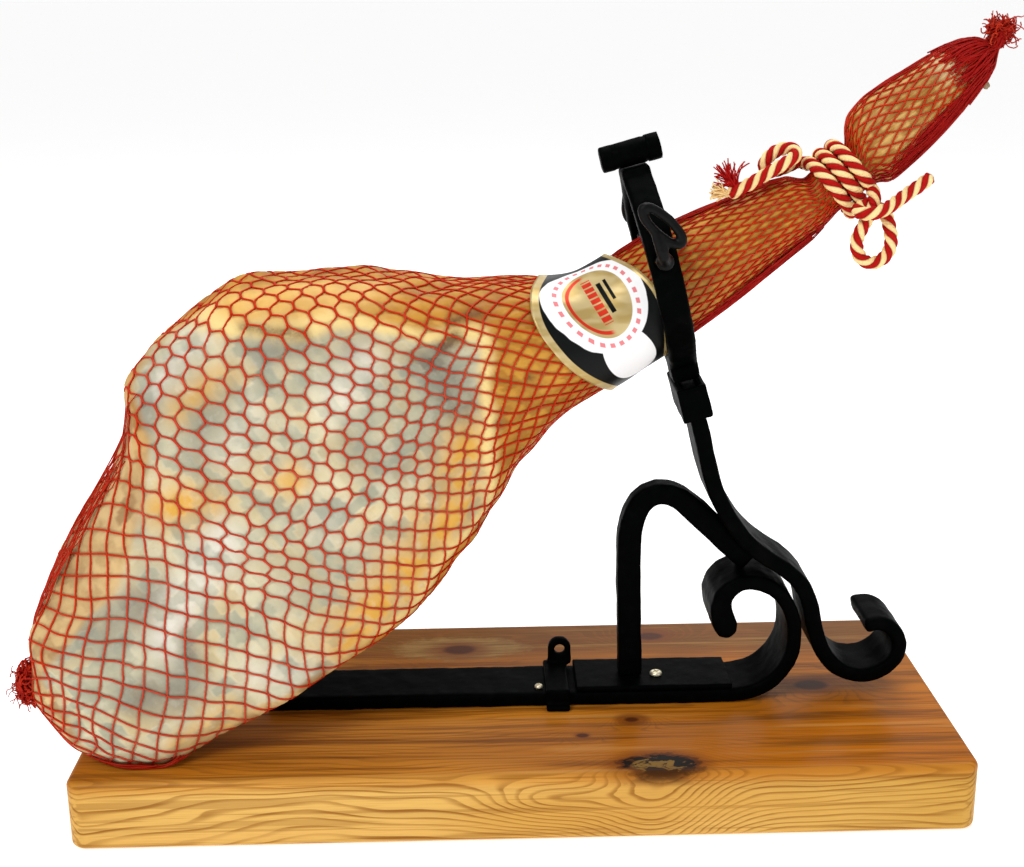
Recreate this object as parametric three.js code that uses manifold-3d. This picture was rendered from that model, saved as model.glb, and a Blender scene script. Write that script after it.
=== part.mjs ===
// A cured ham in its net, clamped by the shank in a wrought-iron ham stand on a pine board.
// Millimetres, +Z up. The origin is the middle of the board's underside.
// +X runs along the board towards the hock, and -Y is the lean side of the ham.
import * as THREE from 'three';
import { mergeVertices } from 'three/addons/utils/BufferGeometryUtils.js';
import Module from 'manifold-3d';

const wasm = await Module();
wasm.setup();

// Driving dimensions
const GAP = 0.3;                       // between pieces that touch
const BOARD = { length: 500, width: 200, height: 40, chamfer: 5 };
const BAR_WIDTH = 40;                  // every flat bar, across the board
const BAR_EDGE = 1.2;                  // bevel of the flat bars
const BASE_BAR = { thickness: 8.5, left: -150 };
const POST_THICKNESS = 9.5;
const PLATE = { left: 33, right: 126, thickness: 3.2 };
const BRACE_SIDE = 14;                 // square bar
const CLIP = { x: 22, width: 14, thickness: 3, eyeOuter: 7, eyeHole: 3.2 };
const HEAD_FOOT = [99, 225];           // X, Z of the socket's middle
const HEAD_TOP = [62.6, 363];          // X, Z of the barrel's axis
const SLEEVE = { bottom: -8.5, top: 11, wall: 3.4 };   // along the post from the socket's middle
const YOKE_WIDTH = 16;
const ARM_FACE = 49.5;                 // from the middle plane to the outside of the yoke's arms
const SHANK_HALF = 27.5;               // half the shank's thickness between the screws
const BARREL = { radius: 7.2, middle: 17, leftCap: 8, rightCap: 8, rightRadius: 7.5 };
const SCREW = {
  height: 90, shaft: 4.2, boss: 4.9, bossLength: 6, tipGap: 0.9, loopLength: 33, loopWidth: 14.5, rod: 2.7,
};
const HAM = { rootX: -278, rootZ: 80, angle: 32.6, length: 632 };
const LABEL = { from: 361, to: 398, widest: 75, bulge: 14, lift: 0.9, paper: 1.1 };   // widest at the front
const ROPE = { diameter: 7.6, coilFrom: 516, coilTo: 541, neck: 14.1, tilt: 10, sides: 8 };

// Ham: edges and faces along its length, from the rump end to the hock.
// length, lower edge, upper edge, front (lean) face, back (skin) face
const HAM_STATIONS = [
  [0, -10, -10, -50, -50],
  [13, -51, 6, -81, -18],
  [33, -73.6, 31, -89, 15],
  [50, -85.4, 43, -89, 34],
  [75, -89, 57, -87, 46],
  [128, -94, 84, -83, 58],
  [150, -94, 108, -81, 61],
  [178, -92.5, 116, -80, 64],
  [215, -86, 116, -77, 64],
  [252, -73.5, 102, -71, 61],
  [298, -54, 69, -58, 53],
  [343, -49, 34, -42, 40],
  [382, -50, 14, -32, 32],
  [430, -47.5, 10, -28, 28],
  [480, -42, 1.5, -22, 22],
  [504, -39.6, -3.5, -18, 18],
  [513, -37, -10.3, -13.8, 13.8],
  [519, -35, -9.3, -12.9, 12.9],
  [533, -33.6, -8.6, -12.9, 12.9],
  [540, -32.2, -7.6, -13, 13],
  [546, -33.6, 2, -15.5, 15.5],
  [551, -36.4, 6.5, -18.5, 18.5],
  [565, -34, 10, -20, 20],
  [602, -24.5, 10, -15.5, 15.5],
  [624, -15, 4.5, -9, 9],
  [632, -7, -5, -1, 1],
];
const HAM_ROWS = 48;
const NECK_ROWS = [504, 508, 511, 513, 516, 519, 526, 533, 537, 540, 543, 546, 551];
const HAM_SIDES = 44;
const RUMP_RISE = 0.42;                // how far the underside of the rump rises towards the back
// How much squarer than an oval the section is at its front, back and lower front rim,
// and the lengths along the ham between which the body and the rump turn round
const SQUARENESS = { front: 0.42, back: 0.16, rim: 0.24 };
const BODY_ENDS = [250, 400];
const RIM_ENDS = [150, 330];
const RUMP_ENDS = [60, 230];

// Small helpers
function finish(geometry, name, color, roughness, metalness) {
  const material = new THREE.MeshStandardMaterial({ color, roughness, metalness });
  const mesh = new THREE.Mesh(geometry, material);
  mesh.name = name;
  return mesh;
}

const iron = (geometry, name) => finish(geometry, name, 0x14171a, 0.45, 0.6);

function solidOf(geometry) {
  const bare = new THREE.BufferGeometry();
  bare.setAttribute('position', geometry.attributes.position.clone());
  if (geometry.index) bare.setIndex(geometry.index.clone());
  const merged = mergeVertices(bare, 1e-4);
  return new wasm.Manifold(new wasm.Mesh({
    numProp: 3,
    vertProperties: new Float32Array(merged.attributes.position.array),
    triVerts: new Uint32Array(merged.index.array),
  }));
}

function geometryOf(solid) {
  const { vertProperties, triVerts } = solid.getMesh();
  const geometry = new THREE.BufferGeometry();
  geometry.setAttribute('position', new THREE.BufferAttribute(new Float32Array(vertProperties), 3));
  geometry.setIndex(new THREE.BufferAttribute(new Uint32Array(triVerts), 1));
  return geometry;
}

// Monotone cubic through [x, y] pairs, which never overshoots its points
function smoothCurve(xs, ys) {
  const slopes = xs.slice(1).map((x, i) => (ys[i + 1] - ys[i]) / (x - xs[i]));
  const tangents = xs.map((x, i) => {
    if (i === 0) return slopes[0];
    if (i === xs.length - 1) return slopes[i - 1];
    const [a, b] = [slopes[i - 1], slopes[i]];
    return a * b <= 0 ? 0 : (2 * a * b) / (a + b);
  });
  return (x) => {
    let i = 0;
    while (i < xs.length - 2 && x > xs[i + 1]) i += 1;
    const width = xs[i + 1] - xs[i];
    const t = Math.min(Math.max((x - xs[i]) / width, 0), 1);
    const [t2, t3] = [t * t, t * t * t];
    return (2 * t3 - 3 * t2 + 1) * ys[i] + (t3 - 2 * t2 + t) * width * tangents[i]
      + (-2 * t3 + 3 * t2) * ys[i + 1] + (t3 - t2) * width * tangents[i + 1];
  };
}

// Surface through rings of points: closed by a pole at each end, or round on itself
function skinOf(rings, poles = []) {
  const count = rings[0].length;
  const points = [...rings.flat(), ...poles];
  const first = rings.length * count;
  const spans = poles.length ? rings.length - 1 : rings.length;
  const index = [];
  for (let i = 0; i < count; i += 1) {
    const j = (i + 1) % count;
    for (let r = 0; r < spans; r += 1) {
      const [a, b] = [r * count, ((r + 1) % rings.length) * count];
      index.push(a + i, a + j, b + i, a + j, b + j, b + i);
    }
    if (poles.length) {
      const last = (rings.length - 1) * count;
      index.push(first, j, i, first + 1, last + i, last + j);
    }
  }
  const geometry = new THREE.BufferGeometry();
  const numbers = points.flatMap((p) => p.toArray());
  geometry.setAttribute('position', new THREE.Float32BufferAttribute(numbers, 3));
  geometry.setIndex(index);
  return geometry;
}

// Outline in X and Z pushed out along Y, centred on Y = 0, with bevelled edges
function plate(shape, width, bevel) {
  const geometry = new THREE.ExtrudeGeometry(shape, {
    depth: width - 2 * bevel,
    bevelEnabled: bevel > 0,
    bevelSize: bevel,
    bevelThickness: bevel,
    bevelOffset: -bevel,
    bevelSegments: 1,
    curveSegments: 10,
  });
  geometry.translate(0, 0, -(width - 2 * bevel) / 2);
  geometry.rotateX(Math.PI / 2);
  return geometry;
}

// Flat bar bent in the X-Z plane: rows of X, Z and thickness along its middle
function bentBar(rows, width, steps, bevel, roundEnd = false) {
  const points = rows.map(([x, z, thickness]) => new THREE.Vector3(x, z, thickness));
  const middle = new THREE.CatmullRomCurve3(points, false, 'centripetal');
  const left = [];
  const right = [];
  for (let i = 0; i <= steps; i += 1) {
    const { x, y, z: thickness } = middle.getPointAt(i / steps);
    const tangent = middle.getTangentAt(i / steps);
    const across = new THREE.Vector2(-tangent.y, tangent.x).normalize().multiplyScalar(thickness / 2);
    left.push(new THREE.Vector2(x + across.x, y + across.y));
    right.unshift(new THREE.Vector2(x - across.x, y - across.y));
  }
  const tip = [];
  if (roundEnd) {
    const [a, b] = [left[left.length - 1], right[0]];
    const centre = a.clone().add(b).multiplyScalar(0.5);
    const spoke = a.clone().sub(centre);
    for (let k = 1; k < 4; k += 1) {
      tip.push(centre.clone().add(spoke.clone().rotateAround(new THREE.Vector2(), (-Math.PI * k) / 4)));
    }
  }
  return plate(new THREE.Shape([...left, ...tip, ...right]), width, bevel);
}

// Tube along points, as a section pushed along a curve
function tube(points, radius, steps, sides) {
  const section = new THREE.Shape();
  section.absarc(0, 0, radius, 0, 2 * Math.PI);
  const curve = new THREE.CatmullRomCurve3(points, false, 'centripetal');
  const geometry = new THREE.ExtrudeGeometry(section, {
    extrudePath: curve, steps, bevelEnabled: false, curveSegments: sides / 2,
  });
  return geometry;
}

// Ham frame: s along the ham, h up across it, y through it
const hamAngle = THREE.MathUtils.degToRad(HAM.angle);
const hamPoint = (s, h, y) => new THREE.Vector3(
  HAM.rootX + s * Math.cos(hamAngle) - h * Math.sin(hamAngle),
  y,
  HAM.rootZ + s * Math.sin(hamAngle) + h * Math.cos(hamAngle),
);
const arcParameter = (s) => Math.acos(1 - (2 * s) / HAM.length);
const hamCurves = [1, 2, 3, 4].map((column) => smoothCurve(
  HAM_STATIONS.map(([s]) => arcParameter(s)),
  HAM_STATIONS.map((row) => row[column]),
));

// Section of the ham at s: a round shank that turns into a body with a flat lean face,
// whose lower rim is the lowest line of the ham
function hamSection(s, angle, lift = 0) {
  const [lower, upper, front, back] = hamCurves.map((curve) => curve(arcParameter(s)));
  const before = (ends) => 1 - THREE.MathUtils.smoothstep(s, ...ends);
  const flatness = before(BODY_ENDS);
  const rumpness = before(RUMP_ENDS);
  const [up, side] = [Math.cos(angle), Math.sin(angle)];
  const isFront = side > 0;
  const corner = isFront && up < 0 ? SQUARENESS.rim * before(RIM_ENDS) : 0;
  const power = 1 - flatness * (isFront ? SQUARENESS.front : SQUARENESS.back) - corner;
  const bend = (v) => Math.sign(v) * Math.abs(v) ** power;
  const half = (back - front) / 2;
  const y = (front + back) / 2 - (half + lift) * bend(side);
  const rise = up < 0 ? -up * rumpness * RUMP_RISE * (y - front) : 0;
  const h = (upper + lower) / 2 + ((upper - lower) / 2 + lift) * bend(up) + rise;
  return { h, y };
}

function hamRing(s) {
  return Array.from({ length: HAM_SIDES }, (_, k) => {
    const { h, y } = hamSection(s, (2 * Math.PI * k) / HAM_SIDES);
    return hamPoint(s, h, y);
  });
}

// Rows along the ham: closer together at both ends, and set by hand at the neck
function hamRows() {
  const evenShare = 0.55;
  const even = Array.from({ length: HAM_ROWS - 1 }, (_, i) => {
    const t = (i + 1) / HAM_ROWS;
    const eased = (1 - Math.cos(Math.PI * t)) / 2;
    return HAM.length * THREE.MathUtils.lerp(eased, t, evenShare);
  });
  const clear = 4;
  const [from, to] = [NECK_ROWS[0] - clear, NECK_ROWS[NECK_ROWS.length - 1] + clear];
  return [...even.filter((s) => s < from), ...NECK_ROWS, ...even.filter((s) => s > to)];
}

function ham() {
  const [startRow, endRow] = [HAM_STATIONS[0], HAM_STATIONS[HAM_STATIONS.length - 1]];
  const pole = ([s, lower, upper, front, back]) => hamPoint(s, (lower + upper) / 2, (front + back) / 2);
  return skinOf(hamRows().map((s) => hamRing(s)), [pole(startRow), pole(endRow)]);
}

// Paper band round the shank, whose edges swell outwards at the front
function label() {
  const widest = THREE.MathUtils.degToRad(LABEL.widest);
  const ring = (across, lift) => Array.from({ length: HAM_SIDES }, (_, k) => {
    const angle = (2 * Math.PI * k) / HAM_SIDES;
    const swell = LABEL.bulge * Math.max(Math.cos(angle - widest), 0) ** 2;
    const s = THREE.MathUtils.lerp(LABEL.from - swell, LABEL.to + swell, across);
    const { h, y } = hamSection(s, angle, lift);
    return hamPoint(s, h, y);
  });
  const steps = 7;
  const across = Array.from({ length: steps + 1 }, (_, i) => i / steps);
  const outside = across.map((t) => ring(t, LABEL.lift + LABEL.paper));
  const inside = across.reverse().map((t) => ring(t, LABEL.lift));
  return skinOf([...outside, ...inside]);
}

function board() {
  const { length, width, height, chamfer } = BOARD;
  const [x, z] = [length / 2, height / 2];
  const shape = new THREE.Shape([
    new THREE.Vector2(-x + chamfer, -z), new THREE.Vector2(x - chamfer, -z),
    new THREE.Vector2(x, -z + chamfer), new THREE.Vector2(x, z - chamfer),
    new THREE.Vector2(x - chamfer, z), new THREE.Vector2(-x + chamfer, z),
    new THREE.Vector2(-x, z - chamfer), new THREE.Vector2(-x, -z + chamfer),
  ]);
  const geometry = plate(shape, width, chamfer);
  geometry.translate(0, 0, height / 2);
  return geometry;
}

// Head frame: u across the board, v along the post, w square to both
const headUp = new THREE.Vector3(HEAD_TOP[0] - HEAD_FOOT[0], 0, HEAD_TOP[1] - HEAD_FOOT[1]).normalize();
const headSide = new THREE.Vector3(headUp.z, 0, -headUp.x);
const headLength = Math.hypot(HEAD_TOP[0] - HEAD_FOOT[0], HEAD_TOP[1] - HEAD_FOOT[1]);
const onPost = (v) => [HEAD_FOOT[0] + v * headUp.x, HEAD_FOOT[1] + v * headUp.z];

// Iron frame
const deck = BOARD.height + GAP;
const baseMiddle = deck + BASE_BAR.thickness / 2;
const baseTop = deck + BASE_BAR.thickness;

function baseBar(clearance = 0) {
  const t = BASE_BAR.thickness;
  const rows = [
    [BASE_BAR.left, baseMiddle, t], [-60, baseMiddle, t], [40, baseMiddle, t], [118, baseMiddle, t],
    [132, baseMiddle + 0.6, t], [145, baseMiddle + 5, t], [155, baseMiddle + 14, t],
    [160.8, baseMiddle + 26, t], [162, baseMiddle + 40, t], [158.6, baseMiddle + 54, t],
    [151, baseMiddle + 65, t], [140, baseMiddle + 71, t],
    [128, baseMiddle + 71, t + 0.8], [119.6, baseMiddle + 64, t + 2.5], [118, baseMiddle + 54, t + 5],
    [121, baseMiddle + 44, t + 6],
  ].map(([x, z, thickness]) => [x, z, thickness + 2 * clearance]);
  return bentBar(rows, BAR_WIDTH + 2 * clearance, 64, BAR_EDGE, true);
}

function post(clearance = 0) {
  const t = POST_THICKNESS;
  const rows = [
    [...onPost(SLEEVE.top - 2), t], [...onPost(0), t], [...onPost(-7), t], [...onPost(-14), t],
    [...onPost(-22), t], [109.2, 184, t], [114.8, 168, t], [123, 153, t], [131.6, 141.8, t],
    [142.4, 132, t], [155, 123.4, t], [165, 113.6, t], [170.6, 100.6, t], [173.4, 88, t], [177.6, 75, t],
    [185, 63.5, t - 0.6], [195, 57, t - 1], [206, 55.6, t - 1], [216, 59, t - 1], [223, 66.6, t - 1],
    [224.6, 77, t - 1], [219.6, 85.4, t - 1], [211.4, 89, t - 1], [203.6, 87.4, t - 1],
  ].map(([x, z, thickness]) => [x, z, thickness + 2 * clearance]);
  return bentBar(rows, BAR_WIDTH + 2 * clearance, 72, BAR_EDGE);
}

function brace() {
  const foot = baseTop + PLATE.thickness + 2 * GAP;
  const rows = [
    [66.4, foot, BRACE_SIDE], [65.6, 90, BRACE_SIDE], [64.8, 130, BRACE_SIDE], [66.4, 150, BRACE_SIDE],
    [72, 162, BRACE_SIDE - 0.6], [81, 167.4, BRACE_SIDE - 1.2], [91, 165.6, BRACE_SIDE - 1.2],
    [102, 157, BRACE_SIDE], [113, 146.4, BRACE_SIDE], [124, 135.6, BRACE_SIDE], [136, 124.6, BRACE_SIDE],
  ];
  const whole = solidOf(bentBar(rows, BRACE_SIDE, 30, BAR_EDGE));
  return geometryOf(whole.subtract(solidOf(post(GAP))).subtract(solidOf(baseBar(GAP))));
}

function footPlate() {
  const { left, right, thickness } = PLATE;
  const z = baseTop + GAP + thickness / 2;
  const rows = [left, (left + right) / 2, right].map((x) => [x, z, thickness]);
  return bentBar(rows, BAR_WIDTH, 2, 0.6);
}

function clip() {
  const { x, width, thickness, eyeOuter, eyeHole } = CLIP;
  const half = BAR_WIDTH / 2 + GAP;
  const top = baseTop + GAP;
  // Profile in Y and Z: toe, front leg, top, and the foot of the eye
  const profile = new THREE.Shape([
    new THREE.Vector2(-half - thickness - 4, deck), new THREE.Vector2(-half, deck),
    new THREE.Vector2(-half, top), new THREE.Vector2(half, top), new THREE.Vector2(half, top + thickness),
    new THREE.Vector2(-half - thickness, top + thickness),
    new THREE.Vector2(-half - thickness, deck + thickness),
    new THREE.Vector2(-half - thickness - 4, deck + thickness),
  ]);
  const band = new THREE.ExtrudeGeometry(profile, { depth: width, bevelEnabled: false });
  band.rotateX(Math.PI / 2);
  band.rotateZ(Math.PI / 2);
  band.translate(x - width / 2, 0, 0);
  const eyeShape = new THREE.Shape();
  const eyeHeight = 10;
  eyeShape.moveTo(-eyeOuter, 0);
  eyeShape.lineTo(eyeOuter, 0);
  eyeShape.lineTo(eyeOuter, eyeHeight);
  eyeShape.absarc(0, eyeHeight, eyeOuter, 0, Math.PI);
  const hole = new THREE.Path();
  hole.absarc(0, eyeHeight - 0.5, eyeHole, 0, 2 * Math.PI, true);
  eyeShape.holes.push(hole);
  const eye = new THREE.ExtrudeGeometry(eyeShape, { depth: 5, bevelEnabled: false, curveSegments: 8 });
  eye.rotateX(Math.PI / 2);
  eye.translate(x + 3, half, top + thickness - 1);
  return geometryOf(solidOf(band).add(solidOf(eye)));
}

function placeOnHead(geometry) {
  // Local x becomes Y, local y the post's direction and local z the direction across the head
  const basis = new THREE.Matrix4().makeBasis(new THREE.Vector3(0, 1, 0), headUp, headSide);
  basis.setPosition(HEAD_FOOT[0], 0, HEAD_FOOT[1]);
  return geometry.applyMatrix4(basis);
}

function sleeve() {
  const { bottom, top, wall } = SLEEVE;
  const [halfY, halfT] = [BAR_WIDTH / 2 + GAP, POST_THICKNESS / 2 + GAP];
  const outer = new THREE.Shape();
  const [y, t] = [halfY + wall, halfT + wall];
  outer.moveTo(-y, -t);
  outer.lineTo(y, -t);
  outer.lineTo(y, t);
  outer.lineTo(-y, t);
  const hole = new THREE.Path();
  hole.moveTo(-halfY, -halfT);
  hole.lineTo(-halfY, halfT);
  hole.lineTo(halfY, halfT);
  hole.lineTo(halfY, -halfT);
  outer.holes.push(hole);
  const geometry = new THREE.ExtrudeGeometry(outer, { depth: top - bottom, bevelEnabled: false });
  geometry.translate(0, 0, bottom);
  geometry.rotateX(-Math.PI / 2);
  return placeOnHead(geometry);
}

function yoke() {
  const stem = 9;
  const foot = SLEEVE.top + GAP;
  const apex = headLength - BARREL.radius - GAP;
  const outerSide = [[19, 27], [33, 40.5], [44, 58], [ARM_FACE, 80], [46, 100], [31, 117], [12, apex - 4]];
  const innerSide = [[12, 30.4], [24, 38.6], [34.6, 53], [40.5, 74], [39.5, 90], [30, 106], [15, 119]];
  const mirror = (list) => list.map(([a, b]) => [-a, b]).reverse();
  const vectors = (list) => list.map(([a, b]) => new THREE.Vector2(a, b));
  const shape = new THREE.Shape();
  shape.moveTo(-stem, foot);
  shape.lineTo(stem, foot);
  shape.lineTo(stem, 20);
  shape.splineThru(vectors(outerSide));
  shape.lineTo(10, apex);
  shape.lineTo(-10, apex);
  shape.lineTo(...mirror(outerSide)[0]);
  shape.splineThru(vectors(mirror(outerSide).slice(1)));
  shape.lineTo(-stem, 20);
  const hole = new THREE.Path();
  hole.moveTo(0, 27.6);
  hole.splineThru(vectors([...innerSide, [0, 127]]));
  hole.splineThru(vectors([...mirror(innerSide), [0, 27.6]]));
  shape.holes.push(hole);
  const bevel = 1.2;
  const geometry = new THREE.ExtrudeGeometry(shape, {
    depth: YOKE_WIDTH - 2 * bevel,
    bevelEnabled: true,
    bevelSize: bevel,
    bevelThickness: bevel,
    bevelOffset: -bevel,
    bevelSegments: 1,
    curveSegments: 3,
  });
  geometry.translate(0, 0, -(YOKE_WIDTH - 2 * bevel) / 2);
  const bore = new THREE.CylinderGeometry(SCREW.shaft + GAP, SCREW.shaft + GAP, 140, 16);
  bore.rotateZ(Math.PI / 2);
  bore.translate(0, SCREW.height, 0);
  return placeOnHead(geometryOf(solidOf(geometry).subtract(solidOf(bore))));
}

function barrelPart(from, to, radius) {
  const geometry = new THREE.CylinderGeometry(radius, radius, to - from, 20);
  geometry.rotateX(Math.PI / 2);
  geometry.translate(0, headLength, (from + to) / 2);
  return placeOnHead(geometry);
}

// Clamp screw: shaft through the arm, boss, bent neck, and an oval loop to turn it by.
// The loop's middle is given from the screw's axis, and it leans by the angle.
function clampScrew(side, [loopX, loopZ], lean) {
  const point = SHANK_HALF + SCREW.tipGap;
  const armFace = ARM_FACE + GAP;
  const bossEnd = armFace + SCREW.bossLength;
  const loopY = bossEnd + SCREW.rod + 1;
  const shaft = new THREE.CylinderGeometry(SCREW.shaft, SCREW.shaft, bossEnd - point, 16);
  shaft.translate(0, (bossEnd + point) / 2, 0);
  const boss = new THREE.CylinderGeometry(SCREW.boss, SCREW.boss, SCREW.bossLength, 16);
  boss.translate(0, (bossEnd + armFace) / 2, 0);
  const [long, short] = [SCREW.loopLength / 2 - SCREW.rod, SCREW.loopWidth / 2 - SCREW.rod];
  const across = new THREE.Vector3(Math.cos(lean), 0, Math.sin(lean));
  const along = new THREE.Vector3(-Math.sin(lean), 0, Math.cos(lean));
  const centre = new THREE.Vector3(loopX, loopY, loopZ);
  const [loopSteps, rodSides] = [24, 8];
  const rings = Array.from({ length: loopSteps }, (_, i) => {
    const turn = (2 * Math.PI * i) / loopSteps;
    const spot = centre.clone()
      .addScaledVector(across, long * Math.cos(turn))
      .addScaledVector(along, short * Math.sin(turn));
    const outward = across.clone().multiplyScalar(short * Math.cos(turn))
      .addScaledVector(along, long * Math.sin(turn)).normalize();
    return Array.from({ length: rodSides }, (_unused, k) => {
      const roll = (2 * Math.PI * k) / rodSides;
      return spot.clone().addScaledVector(outward, SCREW.rod * Math.cos(roll))
        .add(new THREE.Vector3(0, SCREW.rod * Math.sin(roll), 0));
    });
  });
  const near = centre.clone().addScaledVector(along, -Math.sign(loopZ) * short);
  const neck = tube([
    new THREE.Vector3(0, bossEnd - 2, 0), new THREE.Vector3(near.x * 0.25, loopY, near.z * 0.25), near,
  ], SCREW.rod + 0.6, 6, rodSides);
  const parts = [shaft, boss, skinOf(rings), neck].map(solidOf);
  const geometry = geometryOf(parts.reduce((sum, part) => sum.add(part)));
  if (side < 0) {
    geometry.scale(1, -1, 1);
    geometry.index.array.reverse();
  }
  const foot = headUp.clone().multiplyScalar(SCREW.height);
  geometry.translate(HEAD_FOOT[0] + foot.x, 0, HEAD_FOOT[1] + foot.z);
  return geometry;
}

function woodScrew(x, y, z, radius) {
  const profile = [[0, 0], [radius, 0], [radius, 0.5], [radius * 0.72, 1.5], [0, 1.8]];
  const geometry = new THREE.LatheGeometry(profile.map(([a, b]) => new THREE.Vector2(a, b)), 14);
  geometry.rotateX(Math.PI / 2);
  geometry.translate(x, y, z + GAP);
  return geometry;
}

// Rope: a frayed end, a hitch, turns round the hock, a knot, a hanging loop and a tail
const ropeRadius = ROPE.diameter / 2;
const COIL_HEIGHT = -21.5;

function ropeCoil() {
  const [inner, outer] = [ROPE.neck + GAP, ROPE.neck + GAP + ROPE.diameter];
  const half = (ROPE.coilTo - ROPE.coilFrom) / 2;
  const round = 2.5;
  const profile = [[inner, -half], [outer - round, -half], [outer, -half + round], [outer, half - round],
    [outer - round, half], [inner, half], [inner, -half]];
  const geometry = new THREE.LatheGeometry(profile.map(([a, b]) => new THREE.Vector2(a, b)), 28);
  geometry.rotateZ(-Math.PI / 2);
  geometry.rotateY(-hamAngle - THREE.MathUtils.degToRad(ROPE.tilt));
  const centre = hamPoint((ROPE.coilFrom + ROPE.coilTo) / 2, COIL_HEIGHT, 0);
  return geometry.translate(centre.x, centre.y, centre.z);
}

// Plain lump with the outer shape of a knot
function lump([x, y, z], [a, b, c], tilt) {
  const geometry = new THREE.SphereGeometry(1, 14, 10);
  geometry.scale(a, b, c);
  geometry.rotateY(tilt);
  return geometry.translate(x, y, z);
}

const at = (x, y, z) => new THREE.Vector3(x, y, z);
const ROPE_END = [at(116.5, -10, 340.5), at(121, -11, 343), at(125.5, -12, 346.5), at(129.6, -13, 350)];
const ROPE_LOOP = [at(186, -27, 326.4), at(182.4, -28, 317.5), at(184.6, -28, 309), at(191.4, -28, 305.2),
  at(198.4, -28, 308), at(201.4, -28, 315.5), at(198.6, -28, 325)];
const ROPE_TAIL = [at(203.6, -28, 339.4), at(208.5, -28, 342.4), at(214.5, -28, 346.4),
  at(221.4, -28, 351.8)];

const rope = (geometry, name) => finish(geometry, name, 0xb8452c, 0.85, 0);

const halfBarrel = BARREL.middle / 2;
const stand = new THREE.Group();
stand.add(
  finish(board(), 'board', 0xc98f4e, 0.3, 0),
  iron(baseBar(), 'base_bar'),
  iron(footPlate(), 'foot_plate'),
  iron(clip(), 'strap_clip'),
  iron(brace(), 'brace_bar'),
  iron(post(), 'post_bar'),
  iron(sleeve(), 'socket_sleeve'),
  iron(yoke(), 'head_yoke'),
  iron(barrelPart(-halfBarrel, halfBarrel, BARREL.radius), 'head_barrel'),
  iron(barrelPart(-halfBarrel - GAP - BARREL.leftCap, -halfBarrel - GAP, BARREL.radius), 'barrel_cap_left'),
  iron(
    barrelPart(halfBarrel + GAP, halfBarrel + GAP + BARREL.rightCap, BARREL.rightRadius),
    'barrel_cap_right',
  ),
  iron(clampScrew(-1, [-2.4, 19.6], -0.74), 'clamp_screw_front'),
  iron(clampScrew(1, [-4.4, 19], 1.4), 'clamp_screw_back'),
  finish(woodScrew(82, -4, baseTop + GAP + PLATE.thickness, 3.8), 'wood_screw_right', 0xd8cfae, 0.35, 0.8),
  finish(woodScrew(11, -11.5, baseTop, 2.6), 'wood_screw_left', 0xd8cfae, 0.35, 0.8),
);

const food = new THREE.Group();
food.add(
  finish(ham(), 'ham_in_net', 0xb8783c, 0.55, 0),
  finish(label(), 'label_band', 0xf2f0ea, 0.35, 0),
  rope(tube(ROPE_END, ropeRadius, 6, ROPE.sides), 'rope_end'),
  rope(lump([143, -13, 359.6], [14, 7.2, 8.6], -0.5), 'rope_hitch'),
  rope(ropeCoil(), 'rope_coil'),
  rope(lump([190.4, -28, 335.8], [12.4, 6.8, 7.4], 0.3), 'rope_knot'),
  rope(tube(ROPE_LOOP, ropeRadius, 16, ROPE.sides), 'rope_loop'),
  rope(tube(ROPE_TAIL, ropeRadius, 7, ROPE.sides), 'rope_tail'),
);

const whole = new THREE.Group();
whole.add(stand, food);

export default whole;
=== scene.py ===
import math

import bpy
import numpy as np
from mathutils import Matrix, Vector


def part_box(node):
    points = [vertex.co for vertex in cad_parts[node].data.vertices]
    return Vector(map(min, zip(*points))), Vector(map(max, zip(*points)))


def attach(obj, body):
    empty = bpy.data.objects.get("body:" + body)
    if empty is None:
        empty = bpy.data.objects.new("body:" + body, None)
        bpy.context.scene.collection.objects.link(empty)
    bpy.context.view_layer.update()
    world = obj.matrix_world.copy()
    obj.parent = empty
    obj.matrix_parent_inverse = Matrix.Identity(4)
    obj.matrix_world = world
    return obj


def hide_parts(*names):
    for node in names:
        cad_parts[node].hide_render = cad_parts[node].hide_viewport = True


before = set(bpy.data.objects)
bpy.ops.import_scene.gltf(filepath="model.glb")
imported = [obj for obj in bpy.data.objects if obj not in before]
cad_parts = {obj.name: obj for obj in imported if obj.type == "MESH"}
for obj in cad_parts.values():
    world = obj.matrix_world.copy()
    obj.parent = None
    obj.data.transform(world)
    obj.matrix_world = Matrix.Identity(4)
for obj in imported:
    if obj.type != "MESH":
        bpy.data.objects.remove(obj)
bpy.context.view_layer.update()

# A cured ham in its net, clamped by the shank in a wrought-iron stand on a pine board.
# Lengths below are in millimetres, as in the part, and pieces are made in metres.
MM = 0.001
TAU = 2 * math.pi

# Camera, as the photograph was taken
CAMERA = {"lens": 52.113, "place": (-23.2, -817.3, 447.6), "yaw": 1.396, "pitch": 16.585, "roll": -0.545}
FILM_WIDTH = 36

# Studio, in metres: the floor's reach and glow, how strongly the sky lights the object, and each lamp's
# place, width and power
FLOOR = {"radius": 900, "below": 0.0006, "glow": 0.54}
SKY_LIGHT = 0.46
LAMPS = {
    "key": ((-1.1, -1.5, 1.7), 0.9, 27),
    "fill": ((1.5, -1.1, 1.0), 1.2, 5),
    "top": ((0.1, 0.5, 1.9), 1.0, 15),
    "back": ((0.5, 1.9, 1.1), 1.4, 6),
}

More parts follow.
